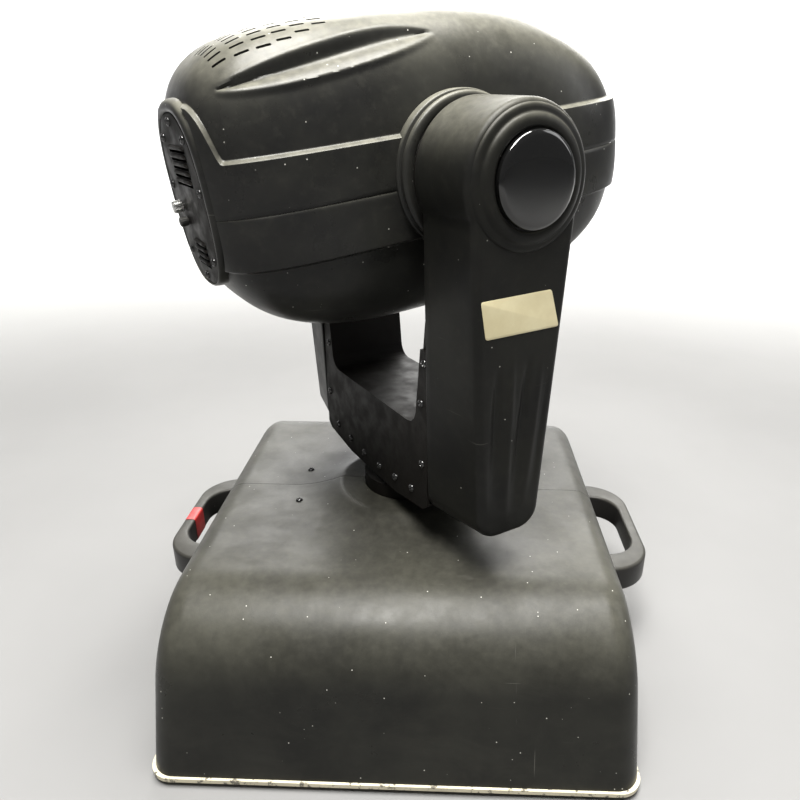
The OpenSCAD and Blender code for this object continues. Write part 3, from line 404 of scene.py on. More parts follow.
class Build:
    """Collects pieces of mesh in local millimetres, then makes one object of them."""

    def __init__(self, matrix):
        self.matrix = matrix
        self.points = []
        self.faces = []
        self.count = 0

    def add(self, points, faces):
        points = np.asarray(points, float).reshape(-1, 3)
        self.points.append(points)
        self.faces += [tuple(i + self.count for i in f) for f in faces]
        self.count += len(points)

    def grid(self, points, wrap=False, cap=False):
        """points: rows x columns x 3. wrap joins the last column to the first, cap closes the last row."""
        rows, cols = points.shape[:2]
        faces = []
        for i in range(rows - 1):
            for j in range(cols if wrap else cols - 1):
                k = (j + 1) % cols
                faces.append((i * cols + j, i * cols + k, (i + 1) * cols + k, (i + 1) * cols + j))
        if cap:
            faces.append(tuple((rows - 1) * cols + j for j in range(cols)))
        self.add(points, faces)

    def lathe(self, profile, axis="y", centre=(0, 0, 0), count=96, wobble=None):
        """profile: (radius, along) pairs. The solid closes where it starts and ends at radius 0."""
        pr = np.array(profile, float)
        a = np.linspace(0, TURN, count, endpoint=False)
        r = pr[:, :1] * np.ones((1, count))
        along = pr[:, 1:2] * np.ones((1, count))
        if wobble is not None:
            r = r + wobble(along, a[None, :]) * (pr[:, :1] > 0)
        one, two = r * np.cos(a), r * np.sin(a)
        order = {"x": (along, one, two), "y": (one, along, two)}[axis]
        self.grid(np.stack(order, -1) + np.array(centre, float), wrap=True)

    def mesh(self, name, weld, thin=0.0):
        """The mesh in metres, with near points joined, needle faces gone and its faces outwards."""
        mesh = bpy.data.meshes.new(name)
        mesh.from_pydata(as_points(self.matrix, np.concatenate(self.points)).tolist(), [], self.faces)
        bm = bmesh.new()
        bm.from_mesh(mesh)
        bmesh.ops.remove_doubles(bm, verts=bm.verts, dist=weld)
        if thin:
            bmesh.ops.dissolve_degenerate(bm, edges=bm.edges, dist=thin)
        bmesh.ops.recalc_face_normals(bm, faces=bm.faces)
        bm.to_mesh(mesh)
        bm.free()
        return mesh

    def cutter(self, name):
        return placed(name, self.mesh(name, WELD_CUTTER))

    def make(self, name, body, slot, nodes=(), material=None, sharp=38, shell=0.0, cut=None):
        """Makes the piece: shell is its wall, cut an object to take away from it."""
        obj = placed(name, self.mesh(name, WELD, THIN))
        if shell:
            mod = obj.modifiers.new("wall", "SOLIDIFY")
            mod.thickness, mod.offset, mod.use_even_offset = shell * MM, -1, False
        if cut is not None:
            mod = obj.modifiers.new("cut", "BOOLEAN")
            mod.operation, mod.solver, mod.object = "DIFFERENCE", "EXACT", cut
        settle(obj, sharp)
        if cut is not None:
            bpy.data.objects.remove(cut)
        obj.data.materials.clear()
        obj.data.materials.append(MATS[material or slot])
        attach(obj, body)
        if nodes:
            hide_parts(*nodes)


def settled_mesh(obj):
    graph = bpy.context.evaluated_depsgraph_get()
    graph.update()
    return bpy.data.meshes.new_from_object(obj.evaluated_get(graph))


def settle(obj, sharp):
    """Applies the modifiers and shades the mesh smooth between sharp edges."""
    if obj.modifiers:
        mesh = settled_mesh(obj)
        obj.modifiers.clear()
        obj.data = mesh
    mesh = obj.data
    mesh.polygons.foreach_set("use_smooth", [True] * len(mesh.polygons))
    mesh.set_sharp_from_angle(angle=math.radians(sharp))
    mesh.update()


def plate_mesh(loop, depth, bevel, matrix, resolution=3):
    """A flat plate with rounded edges from a closed loop of (x, y) points, depth thick about z = 0.
    Returns (points in mm, faces)."""
    curve = bpy.data.curves.new("outline", "CURVE")
    curve.dimensions = "2D"
    curve.fill_mode = "BOTH"
    curve.extrude = depth / 2 - bevel
    curve.bevel_depth = bevel
    curve.bevel_resolution = resolution
    curve.offset = -bevel
    line = curve.splines.new("POLY")
    line.points.add(len(loop) - 1)
    for point, (x, y) in zip(line.points, loop):
        point.co = (x, y, 0, 1)
    line.use_cyclic_u = True
    obj = placed("outline", curve)
    mesh = settled_mesh(obj)
    m = np.array(matrix)
    pts = np.array([v.co for v in mesh.vertices]) @ m[:3, :3].T + m[:3, 3]
    faces = [tuple(p.vertices) for p in mesh.polygons]
    bpy.data.objects.remove(obj)
    return pts, faces


def arc(cx, cy, r, a0, a1, n=12):
    turns = [math.radians(a0 + (a1 - a0) * i / n) for i in range(n + 1)]
    return [(cx + r * math.cos(a), cy + r * math.sin(a)) for a in turns]


def rounded_loop(x0, x1, y0, y1, r, n):
    corners = ((x1 - r, y1 - r, 0), (x0 + r, y1 - r, 90), (x0 + r, y0 + r, 180), (x1 - r, y0 + r, 270))
    return [point for x, y, a in corners for point in arc(x, y, r, a, a + 90, n)]


def smooth(t):
    t = np.clip(t, 0, 1)
    return t * t * (3 - 2 * t)


# ---- Head ----

# The shell's middle and half length along X, its rear end and the radius of its snout
HEAD_MID, HEAD_L = 4.5, 198.5
HEAD_END = -188.0
SNOUT_R = 58.4
# Half width, height of the crown and depth of the belly, and the power of the section's curve
HEAD_WIDE, CROWN_H, BELLY_H = 86.9, 122.0, 121.4
SECTION = 3.2
# The belt: heights of its seam and edges, how far it stands out, and its climb round the rear plate
SEAM_Z = -4.0
BELT_TOP, BELT_LOW, BELT_OUT = 34.0, -44.0, 4.9
CLIMB, CLIMB_X, CLIMB_L = 38, -179, 9
LEDGE_H = 3.9
SEAM_GROOVE, SEAM_WIDE = 0.12, 1.2
# Step for slopes along the head, and the steepest slope followed
STEP, STEEP = 0.5, 4


def bow(u, n):
    return np.maximum(1 - np.abs(u) ** n, 0) ** (1 / n)


def bow_at(x, size, front, rear):
    u = (x - HEAD_MID) / HEAD_L
    return size * np.where(u > 0, bow(u, front), bow(u, rear))


def head_w(x):
    return bow_at(x, HEAD_WIDE, 4, 5)


def head_t(x):
    return bow_at(x, CROWN_H, 2.2, 4.4)


def head_b(x):
    return bow_at(x, BELLY_H, 3, 3)


def belt_edge(x, side):
    """Height of the belt's edge: the top one climbs round the rear plate, the low one stays level."""
    if side < 0:
        return BELT_LOW + 0 * x
    return BELT_TOP + CLIMB * smooth((CLIMB_X - x) / CLIMB_L)


def head_column(x, kind, value, side):
    """A point of the shell at station x. value is a share of the belt's height for kind 'side', a height
    from the belt's edge for 'ledge' and a share of the way up to the top for 'crown'."""
    w, h = head_w(x), head_t(x) if side > 0 else head_b(x)
    edge = belt_edge(x, side)
    seam = SEAM_Z + 0.1 * side
    if kind == "crown":
        end = np.minimum(np.abs(edge) + LEDGE_H, h * 0.995)
        start = np.arctan2(end, w * (1 - (end / h) ** SECTION) ** (1 / SECTION))
        a = start + (math.pi / 2 - start) * value
        rho = ((np.cos(a) / w) ** SECTION + (np.sin(a) / h) ** SECTION) ** (-1 / SECTION)
        y, z = rho * np.cos(a), side * rho * np.sin(a)
    else:
        z = seam + (edge - side * 3 - seam) * value if kind == "side" else edge + side * value
        y = w * np.maximum(1 - (np.abs(z) / h) ** SECTION, 0) ** (1 / SECTION)
    over = smooth((np.abs(edge) + 1.6 - np.abs(z)) / 3.0)
    over = over - SEAM_GROOVE * smooth(1 - np.abs(z - seam) / SEAM_WIDE)
    slope = (head_w(x + STEP) - head_w(x - STEP)) / (2 * STEP)
    slope = np.clip(slope, -STEEP, STEEP)
    size = np.sqrt(1 + slope ** 2)
    out = BELT_OUT * over
    return x - out * slope / size, y + out / size, z


# The long hollow on each shoulder: where it starts, its length, its depth, the heights of its two
# edges at shares of the length, and the share of its height where the floor ends
SCOOP_X, SCOOP_L, SCOOP_DEPTH = -172, 169.0, 5.6
SCOOP_AT = (0, 0.12, 0.33, 0.55, 0.88, 1)
SCOOP_LOW = np.polyfit(SCOOP_AT, (79, 78, 80, 84, 94, 99.5), 4)
SCOOP_HIGH = np.polyfit(SCOOP_AT, (79.5, 86.5, 95.5, 101.5, 105, 100.5), 4)
SCOOP_FLOOR = 0.66


def head_scoop(x, z):
    """Depth of the hollow: a steep upper wall, a floor that rises to a ridge below."""
    t = (x - SCOOP_X) / SCOOP_L
    inside = (t > 0) & (t < 1)
    t = np.clip(t, 0, 1)
    low, high = np.polyval(SCOOP_LOW, t), np.polyval(SCOOP_HIGH, t)
    v = (z - low) / np.maximum(high - low, 1)
    bowl = np.where(v < SCOOP_FLOOR, smooth(v / SCOOP_FLOOR), smooth((1.08 - v) / 0.42))
    ridge = 1.6 * np.exp(-((z - low + 1.9) / 2.2) ** 2) + 0.7 * np.exp(-((z - high - 2.2) / 2.0) ** 2)
    fade = np.sin(math.pi * t ** 0.85) ** 0.5
    return np.where(inside, (SCOOP_DEPTH * bowl - ridge) * fade, 0)


# Columns of the shell from its seam to its middle, and stations along it, for the top and bottom half
SIDE_SHARES = (0, 0.012, 0.03, 0.1, 0.25, 0.4, 0.55, 0.7, 0.85, 0.94, 1)
LEDGE_STEPS = (-2.4, -1.8, -1.2, -0.6, 0, 0.6, 1.2, 1.8, 2.6, 3.5)
CROWN_COLUMNS = {1: 91, -1: 41}
STATIONS = {1: 190, -1: 130}


def head_half(side):
    rules = [("side", v) for v in SIDE_SHARES]
    rules += [("ledge", v) for v in LEDGE_STEPS]
    rules += [("crown", v) for v in np.linspace(0, 1, CROWN_COLUMNS[side])]
    columns = []
    s = np.linspace(0, 1, STATIONS[side])
    # Stations lie closer together towards both ends
    g = 0.45 * s + 0.55 * 0.5 * (1 - np.cos(math.pi * s))
    for kind, value in rules:
        # Each column ends where it reaches the round snout
        low, high = 120.0, HEAD_MID + HEAD_L - 1e-3
        for _ in range(50):
            mid = (low + high) / 2
            _, y, z = head_column(np.array(mid), kind, value, side)
            inside = math.hypot(float(y), float(z)) > SNOUT_R and not math.isnan(float(y))
            low, high = (mid, high) if inside else (low, mid)
        x = HEAD_END + (low - HEAD_END) * g
        columns.append(np.stack(head_column(x, kind, value, side), -1))
    right = np.stack(columns, 1)
    left = right[:, ::-1][:, 1:] * np.array([1, -1, 1])
    whole = np.concatenate([right, left], 1)
    if side > 0:
        x, y, z = whole[..., 0], whole[..., 1], whole[..., 2]
        normal = np.cross(np.gradient(whole, axis=0), np.gradient(whole, axis=1))
        normal /= np.linalg.norm(normal, axis=-1, keepdims=True) + 1e-12
        normal *= np.sign((normal * np.stack([0 * x, y, z], -1)).sum(-1))[..., None]
        whole = whole - normal * head_scoop(x, z)[..., None]
    return whole


def crown_place(x, y, side):
    """A place on the crown at x and |y|, with z outwards and x along the head."""
    w, h = float(head_w(x)), float(head_t(x))
    z = h * (1 - (y / w) ** SECTION) ** (1 / SECTION)
    level = [(y / float(head_w(x + d))) ** SECTION + (z / float(head_t(x + d))) ** SECTION
             for d in (-STEP, STEP)]
    out = Vector(((level[1] - level[0]) / (2 * STEP * SECTION), side * (y / w) ** (SECTION - 1) / w,
                  (z / h) ** (SECTION - 1) / h))
    out.normalize()
    along = (Vector((1, 0, 0)) - out * out.x).normalized()
    across = out.cross(along)
    return Matrix(((along.x, across.x, out.x, x), (along.y, across.y, out.y, side * y),
                   (along.z, across.z, out.z, z), (0, 0, 0, 1)))


# Vent slots on each side of the crown: rows, slots in a row, first place and pitch along the head,
# distance of the outer row from the middle, its arch and the distance between rows
VENT_ROWS, VENT_SLOTS = 6, 6
VENT_X, VENT_PITCH = -163, 15.4
VENT_Y, VENT_ARCH, VENT_GAP = 47, 13, 8.0
VENT_HALF_L, VENT_HALF_W, VENT_R, VENT_DEEP = 5.6, 1.15, 1.1, 14
CUT_ROUND = 0.2


def vent_cutter():
    """Rows of slots through the rear of the crown, along the head."""
    cutter = Build(HEAD)
    slot = rounded_loop(-VENT_HALF_L, VENT_HALF_L, -VENT_HALF_W, VENT_HALF_W, VENT_R, 4)
    for side in (-1, 1):
        for row in range(VENT_ROWS):
            for i in range(VENT_SLOTS):
                x = VENT_X + VENT_PITCH * i
                y = VENT_Y + VENT_ARCH * math.sin(math.pi * (i + 0.8) / 6.5) - VENT_GAP * row
                cutter.add(*plate_mesh(slot, VENT_DEEP, CUT_ROUND, crown_place(x, y, side), 1))
    return cutter.cutter("vent_cutter")


# Profiles of (radius, distance along the axis)
BOSS_PROFILE = (
    (20, 86), (61, 86), (61, 92.5), (60.6, 93.6), (59.6, 94.2), (57.2, 94.4), (56.6, 95), (56.6, 96.2),
    (57.2, 96.8), (58.4, 97), (59.2, 97.6), (59.4, 98.6), (59, 100), (57.8, 101.2), (56, 101.8), (53, 101.9),
    (50.5, 101.2), (49.5, 99.5), (48.5, 98.6), (30, 98.4), (20, 98.2), (20, 86))
BEZEL_PROFILE = (
    (50.05, 160), (57.6, 160), (57.9, 178), (57.9, 191.4), (57.3, 193), (56, 193.9), (54.2, 193.9),
    (52.8, 193), (52.2, 191.4), (51.6, 190.4), (50.4, 190), (48.6, 190), (47.4, 189.4), (47.1, 188.2),
    (47.4, 187.2), (50.05, 187), (50.05, 160))


def make_head():
    top = Build(HEAD)
    top.grid(head_half(1))
    top.make("head_top_cover", "head", "head_plastic", ["head_top_shell"], shell=COVER_WALL,
             cut=vent_cutter())
    low = Build(HEAD)
    low.grid(head_half(-1))
    low.make("head_bottom_cover", "head", "head_plastic", ["head_bottom_shell"], shell=COVER_WALL)
    # Bosses round the tilt axles, each a double ridge with a dark groove
    ring = Build(HEAD)
    for side in (-1, 1):
        ring.lathe([(r, side * a) for r, a in BOSS_PROFILE], "y")
    ring.make("head_axle_bosses", "head", "head_plastic", sharp=50)
    # Front rim inside the snout and the stepped bezel that holds the lens
    rim = Build(HEAD)
    rim.lathe(BEZEL_PROFILE, "x", count=128)
    rim.make("front_bezel_ring", "head", "head_plastic", ["front_bezel"], sharp=50)


# The rear plate: half height, half width, height of its middle, power of its oval, place, thickness
PLATE_H, PLATE_W, PLATE_Z = 64, 51, 4
PLATE_POWER = 0.78
PLATE_X, PLATE_T, PLATE_ROUND = -191.6, 6.4, 1.4
# Its slots as (height, end, end): five above, four below
SLOT_W, SLOT_R, SLOT_X, SLOT_DEEP = 2.6, 1.2, -193, 12
SLOTS = [(16 + 6 * i, -28, 22) for i in range(5)] + [(-46 + 5 * i, -20, 14) for i in range(4)]
LIP_X, LIP_OUT, LIP_HALF = -194.6, 1.9, 1.3
# The rim round it: its width, and its section as (share of the width, place along the head)
RIM_WIDE = 9.4
RIM_SECTION = ((1, -183), (1, -188.5), (0.97, -190.6), (0.88, -192.8), (0.72, -194.3), (0.52, -195.1),
               (0.3, -195.2), (0.13, -194.8), (0.04, -194), (0.01, -192.5), (0.01, -186), (1, -183))


def make_rear_plate():
    turn = Matrix(((0, 0, -1, 0), (0, 1, 0, 0), (1, 0, 0, 0), (0, 0, 0, 1)))
    cutter = Build(HEAD)
    for z, y0, y1 in SLOTS:
        cutter.add(*plate_mesh(rounded_loop(z, z + SLOT_W, y0, y1, SLOT_R, 4), SLOT_DEEP, CUT_ROUND,
                               Matrix.Translation((SLOT_X, 0, 0)) @ turn, 1))
    cut = cutter.cutter("slot_cutter")
    plate = Build(HEAD)
    oval = [(PLATE_H * math.copysign(abs(math.cos(a)) ** PLATE_POWER, math.cos(a)) + PLATE_Z,
             PLATE_W * math.copysign(abs(math.sin(a)) ** PLATE_POWER, math.sin(a)))
            for a in np.linspace(0, TURN, 96, endpoint=False)]
    plate.add(*plate_mesh(oval, PLATE_T, PLATE_ROUND, Matrix.Translation((PLATE_X, 0, 0)) @ turn))
    plate.make("rear_vent_plate", "head", "black_steel", ["rear_plate"], sharp=40, cut=cut)
    make_plate_rim()
    # Pressed lips above the slots
    lips = Build(HEAD)
    for z, y0, y1 in SLOTS:
        t = np.linspace(0, 1, 25)
        a = np.linspace(0, math.pi, 9)
        ends = np.minimum(1, np.minimum(t, 1 - t) * 9) ** 0.5
        y = y0 + (y1 - y0) * t
        lips.grid(np.stack([LIP_X - LIP_OUT * ends[:, None] * np.sin(a)[None, :],
                            y[:, None] + 0 * a[None, :],
                            z + SLOT_W + LIP_HALF * (1 - np.cos(a))[None, :] * ends[:, None]], -1))
    lips.make("rear_vent_lips", "head", "black_steel", sharp=60, shell=-0.5)


def make_plate_rim():
    """Rounded rim of the covers round the plate, wide at the top and narrow at the bottom."""
    a = np.linspace(0, TURN, 128, endpoint=False)
    ca = np.sign(np.cos(a)) * np.abs(np.cos(a)) ** PLATE_POWER
    sa = np.sign(np.sin(a)) * np.abs(np.sin(a)) ** PLATE_POWER
    wide = 0.25 + 0.75 * smooth((np.cos(a) + 0.9) / 1.3)
    rows = []
    for share, x in RIM_SECTION:
        e = RIM_WIDE * share * wide
        rows.append(np.stack([x + 0 * a, (PLATE_W + e) * sa, PLATE_Z + (PLATE_H + e) * ca], -1))
    rim = Build(HEAD)
    rim.grid(np.stack(rows), wrap=True)
    rim.make("rear_plate_rim", "head", "head_plastic", sharp=60)


# The two lamp knobs: place, profile, stem, and the knurl's depth, count and half length
ADJUST_AT, LOCK_AT = (-199.7, 22, -1), (-198.7, 20, -13)
ADJUST_PROFILE = ((0, -4.3), (3.6, -4.3), (4.5, -3.9), (4.75, -3.2), (4.75, -3), (4.75, 0), (4.75, 3),
                  (4.75, 3.2), (4.3, 3.8), (3.4, 4.1), (0, 4.1))
ADJUST_STEM = ((0, 4.0), (2.6, 4.0), (2.6, 14), (0, 14))
ADJUST_KNURL = (0.22, 24, 3.1)
LOCK_PROFILE = ((0, -3.3), (2.6, -3.3), (3.5, -2.9), (3.8, -2.2), (3.8, -2), (3.8, 2.4), (3.8, 2.6),
                (3.2, 3.1), (0, 3.1))
LOCK_STEM = ((0, 3.0), (2.4, 3.0), (2.4, 13), (0, 13))
LOCK_KNURL = (0.18, 18, 2.3)


def make_knob(name, node, slot, place, profile, stem, knurl, count):
    depth, teeth, reach = knurl
    b = Build(HEAD)
    b.lathe(profile, "x", place, count,
            lambda along, a: depth * np.sign(np.sin(teeth * a)) * (np.abs(along) < reach))
    b.lathe(stem, "x", place, 32)
    b.make(name, node, slot, [node], sharp=30)


# ---- Yoke ----

ARM_LOW = 199.0
CORNER = 20.0
# Arm covers: their open side, the first row's place for the taper, radius of the round top and of the
# barrel behind it, half width at the bottom, and how much the last two shrink towards the outer face
ARM_OPEN, ARM_FROM = 110.5, 110.4
TOP_IN, TOP_OUT = 49.0, 48.0
BARREL_R, BARREL_LESS = 55.9, 2.5
LOW_HALF, LOW_LESS = 43, 12
ARM_ROUND = 5.5


def tangent(top_r, low_half):
    """Where the arm's straight side leaves the top circle and meets the bottom corner's circle."""
    c1, c2 = np.array([0.0, TILT_Z]), np.array([low_half - CORNER, ARM_LOW + CORNER])
    d = c2 - c1
    length = np.linalg.norm(d)
    n = math.atan2(d[1], d[0]) + math.acos((top_r - CORNER) / length)
    v = np.array([math.cos(n), math.sin(n)])
    return c1 + top_r * v, c2 + CORNER * v, math.degrees(n)


def arm_outline(top_r, barrel_r, low_half, inset):
    """Half the outline of an arm cover, as (x, z) points from the bottom's middle to the top's."""
    p, q, n = tangent(top_r, low_half)
    d = (q - p) / np.linalg.norm(q - p)
    reach = math.sqrt(max(barrel_r ** 2 - top_r ** 2, 0))
    meet = p + d * reach
    a_meet = math.atan2(meet[1] - TILT_Z, meet[0])
    top = [(barrel_r * math.cos(a), TILT_Z + barrel_r * math.sin(a))
           for a in np.linspace(a_meet, math.pi / 2, 40)]
    side = [tuple(q + (meet - q) * t) for t in np.linspace(0, 1, 40)][:-1]
    centre = (low_half - CORNER, ARM_LOW + CORNER)
    corner = [(centre[0] + CORNER * math.cos(a), centre[1] + CORNER * math.sin(a))
              for a in np.radians(np.linspace(-90, n, 16))][:-1]
    bottom = [(centre[0] * t, ARM_LOW) for t in np.linspace(0, 1, 8)][:-1]
    half = np.array(bottom + corner + side + top)
    # Pull the outline in by the inset, along its own normals
    if inset:
        t = np.gradient(half, axis=0)
        normal = np.stack([t[:, 1], -t[:, 0]], -1)
        normal /= np.linalg.norm(normal, axis=1, keepdims=True)
        normal[0], normal[-1] = (0, -1), (0, 1)
        half = half - normal * inset
        half[:, 0] = np.maximum(half[:, 0], 0)
    return half


def face_relief(x, z):
    """Soft ribs low on the outer face: a middle rib between two hollows, with one more on each side."""
    drop = TILT_Z - z

    def blade(x0, z0, x1, z1, wide):
        t = np.clip((drop - z0) / (z1 - z0), 0, 1)
        mid = x0 + (x1 - x0) * t
        fade = np.sin(math.pi * t ** 0.8) ** 0.7
        return np.exp(-((x - mid) / (wide * (0.45 + 0.55 * t))) ** 2) * fade
    rise = 2.2 * blade(-6, 132, -7, 284, 5.5) + 1.5 * blade(23, 140, 12, 268, 4.5)
    rise = rise - 3.2 * blade(-20, 136, -17, 266, 7.0) - 3.0 * blade(9, 134, 3, 270, 6.0)
    return rise - 1.0 * blade(31, 150, 22, 250, 4.0)


def arm_levels(out):
    """Rows of the arm cover from its open side to the outer face: (y, inset)."""
    rows = [(ARM_OPEN, 0.9), (111.2, 0.2), (112, 0)]
    rows += [(y, 0) for y in np.linspace(118, out - 6.5, 12)]
    r = ARM_ROUND
    rows += [(out - r + r * math.sin(a), r - r * math.cos(a)) for a in np.radians(np.linspace(10, 90, 9))]
    return rows


# Profiles of (radius, distance from the arm's outer face): the stepped boss and the disc in it
ARM_BOSS_PROFILE = (
    (30, -2), (50.5, -2), (50.2, 0.3), (48.6, 1.4), (46.6, 1.9), (45.2, 2.0), (44.2, 2.4), (43.6, 3.2),
    (42.6, 4.2), (41, 5.1), (39, 5.6), (36.4, 5.8), (35.4, 5.4), (34.8, 4.4), (34.6, 3.4), (30, 3.2), (30, -2))
DISC_PROFILE = ((0, 3), (33.5, 3), (33.5, 7.6), (33.2, 8.5), (32.4, 9.2), (31.2, 9.6))
DISC_R, DISC_OUT, DISC_DOME = 31.2, 9.6, 1.3


def make_arm(name, side, out, nodes, disc_node):
    b = Build(YOKE)
    rows = []
    for y, inset in arm_levels(out):
        t = (y - ARM_FROM) / (out - ARM_FROM)
        half = arm_outline(TOP_IN + (TOP_OUT - TOP_IN) * t, BARREL_R - BARREL_LESS * t,
                           LOW_HALF - LOW_LESS * t, inset)
        rows.append(np.concatenate([np.stack([half[:, 0], 0 * half[:, 0] + y, half[:, 1]], -1),
                                    np.stack([-half[::-1, 0], 0 * half[:, 0] + y, half[::-1, 1]], -1)[1:-1]]))
    # The outer face closes in on a line up its middle, and carries the ribs
    rim = rows[-1]
    spine = np.stack([0 * rim[:, 0], 0 * rim[:, 0] + out, np.clip(rim[:, 2], ARM_LOW + 26, TILT_Z)], -1)
    for u in np.linspace(1, 0, 22)[1:]:
        row = spine + (rim - spine) * u
        calm = smooth((1 - u) / 0.16)
        row[:, 1] = out + calm * face_relief(row[:, 0], row[:, 2])
        rows.append(row)
    b.grid(np.stack(rows) * np.array([1, side, 1]), wrap=True)
    b.make(name, "yoke", "cover_plastic", nodes, shell=COVER_WALL, sharp=42)
    boss = Build(YOKE)
    boss.lathe([(r, side * (out + a)) for r, a in ARM_BOSS_PROFILE], "y", (0, 0, TILT_Z), 128)
    boss.make(name + "_boss", "yoke", "cover_plastic", sharp=55)
    cap = Build(YOKE)
    profile = [(r, out + a) for r, a in DISC_PROFILE]
    profile += [(DISC_R * math.cos(a), out + DISC_OUT + DISC_DOME * math.sin(a))
                for a in np.radians(np.linspace(8, 90, 12))]
    cap.lathe([(max(r, 0), side * a) for r, a in profile], "y", (0, 0, TILT_Z), 128)
    cap.make(name.replace("arm_shell", "pivot_disc"), "yoke", "disc_gloss", [disc_node], sharp=50)


# The label's corners from the tilt axis, the radius they are rounded by, its middle plane and thickness
LABEL = ((-39, -82), (-33.5, -111.5), (36.5, -110.5), (26.5, -80))
LABEL_R, LABEL_Y, LABEL_T, LABEL_ROUND = 2.5, -176.2, 0.45, 0.1


def make_label():
    b = Build(YOKE)
    turn = Matrix(((1, 0, 0, 0), (0, 0, 1, 0), (0, 1, 0, 0), (0, 0, 0, 1)))
    loop = []
    for i, c in enumerate(LABEL):
        before, after = np.array(LABEL[i - 1]), np.array(LABEL[(i + 1) % 4])
        c = np.array(c, float)
        a = c + (before - c) / np.linalg.norm(before - c) * LABEL_R
        d = c + (after - c) / np.linalg.norm(after - c) * LABEL_R
        for t in np.linspace(0, 1, 5):
            loop.append(tuple((1 - t) ** 2 * a + 2 * t * (1 - t) * c + t ** 2 * d))
    b.add(*plate_mesh(loop, LABEL_T, LABEL_ROUND, Matrix.Translation((0, LABEL_Y, TILT_Z)) @ turn, 1))
    b.make("arm_sticker", "yoke", "label_cream", ["arm_label"], sharp=50)


# Screw heads: radius and height, with the dome's rings as shares of them, and the cross recess's half
# width, reach as a share of the radius, and depth
SCREW_R, SCREW_H = 3.9, 2.2
SMALL_R, SMALL_H = 3.4, 2.0
DOME = ((0.0, 1), (0.12, 1), (0.24, 1), (0.36, 0.99), (0.5, 0.96), (0.65, 0.88), (0.8, 0.74), (0.92, 0.5),
        (0.99, 0.2), (1.0, 0.0))
CROSS_HALF, CROSS_REACH, CROSS_DEEP = 0.62, 0.56, 1.0
# Places: on the yoke's plates as (y, drop from the tilt axis), on the base's top and on the rear plate
YOKE_PLATE_X = 43
YOKE_SCREWS = ((104, 150), (99, 188), (101, 246), (82, 280), (50, 284), (17, 287))
COVER_SCREW_X, COVER_SCREW_Y = 113, 33
REAR_SCREW_X = -194.8
REAR_SCREWS = ((0, 58), (32, 46), (-32, 46), (44, 10), (-44, 10), (34, -42), (-34, -42), (0, -58))


def screw(b, place, direction, r=SCREW_R, h=SCREW_H):
    """A domed head with a cross recess, its base at place and its top towards direction."""
    a = np.linspace(0, TURN, 32, endpoint=False)
    turn = RNG.uniform(0, math.pi / 2)
    rows = []
    for f, rise in DOME:
        x, y = r * f * np.cos(a), r * f * np.sin(a)
        u = np.abs(x * math.cos(turn) + y * math.sin(turn))
        v = np.abs(-x * math.sin(turn) + y * math.cos(turn))
        reach = r * CROSS_REACH
        cross = ((u < CROSS_HALF) & (v < reach)) | ((v < CROSS_HALF) & (u < reach))
        rows.append(np.stack([x, y, h * rise - CROSS_DEEP * cross], -1))
    m = Vector(direction).normalized().to_track_quat("Z", "Y").to_matrix()
    b.grid(np.stack(rows) @ np.array(m).T + np.array(place, float), wrap=True, cap=True)


def make_screws():
    b = Build(YOKE)
    for side in (-1, 1):
        for end in (-1, 1):
            for y, drop in YOKE_SCREWS:
                screw(b, (end * YOKE_PLATE_X, side * y, TILT_Z - drop), (end, 0, 0))
    b.make("yoke_plate_screws", "yoke", "black_steel", ["yoke_screws"], material="screw_black", sharp=50)
    b = Build(BASE)
    for x in (-COVER_SCREW_X, COVER_SCREW_X):
        for y in (-COVER_SCREW_Y, COVER_SCREW_Y):
            screw(b, (x, y, BASE_TOP), (0, 0, 1))
    b.make("base_cover_screws", "base", "black_steel", ["cover_screws"], material="screw_black", sharp=50)
    b = Build(HEAD)
    for y, z in REAR_SCREWS:
        screw(b, (REAR_SCREW_X, y, PLATE_Z + z), (-1, 0, 0), SMALL_R, SMALL_H)
    b.make("rear_plate_screw_heads", "head", "black_steel", ["head_screws"], material="screw_black", sharp=50)


# ---- Base ----

# Half depth and half width at the foot, heights of the foot and the top, lean of the front and rear
# faces and of the sides, and radii of the long rolled edges and of the side edges
BASE_D, BASE_W = 244, 210
BASE_FOOT, BASE_TOP = 6, 157
FACE_LEAN, SIDE_LEAN = 11, 3.8
ROLL_R, SIDE_R = 82, 22
# The mound under the yoke: its top, its radius at the base's top, slope, rounding and outer limit
MOUND_TOP, MOUND_R, MOUND_SLOPE, MOUND_ROUND, MOUND_END = 169, 102, 22, 8, 130
MOUND_BLEND = 10
# Radius of the hole for the turret, height where the wall starts, and half the gap between the covers
HOLE_R, WALL_FROM, COVER_GAP = 47.2, 10.0, 0.25
# Steps of the wall from the rim to the hole, rays that find it, their length, and steps in plan
WALL_ROWS, WALL_RAYS, RAY_L, PLAN_STEPS = 96, 420, 420.0, 190
# The opening for the control panel in the rear cover, on the leaning face
PANEL_X, PANEL_Y, PANEL_Z = (-140, 140), (-30, 20), (19, 73)


def round_max(a, b, r, c):
    """The larger of two distances with the edge between them rounded to radius r. c is the cosine
    between their normals."""
    u, v = a + r, b + r
    inside = (u - c * v > 0) & (v - c * u > 0)
    arc = np.sqrt(np.maximum(u * u + v * v - 2 * u * v * c, 0) / (1 - c * c)) - r
    return np.where(inside, arc, np.maximum(a, b))


def round_min(a, b, k):
    h = np.clip(0.5 + 0.5 * (b - a) / k, 0, 1)
    return b * (1 - h) + a * h - k * h * (1 - h)


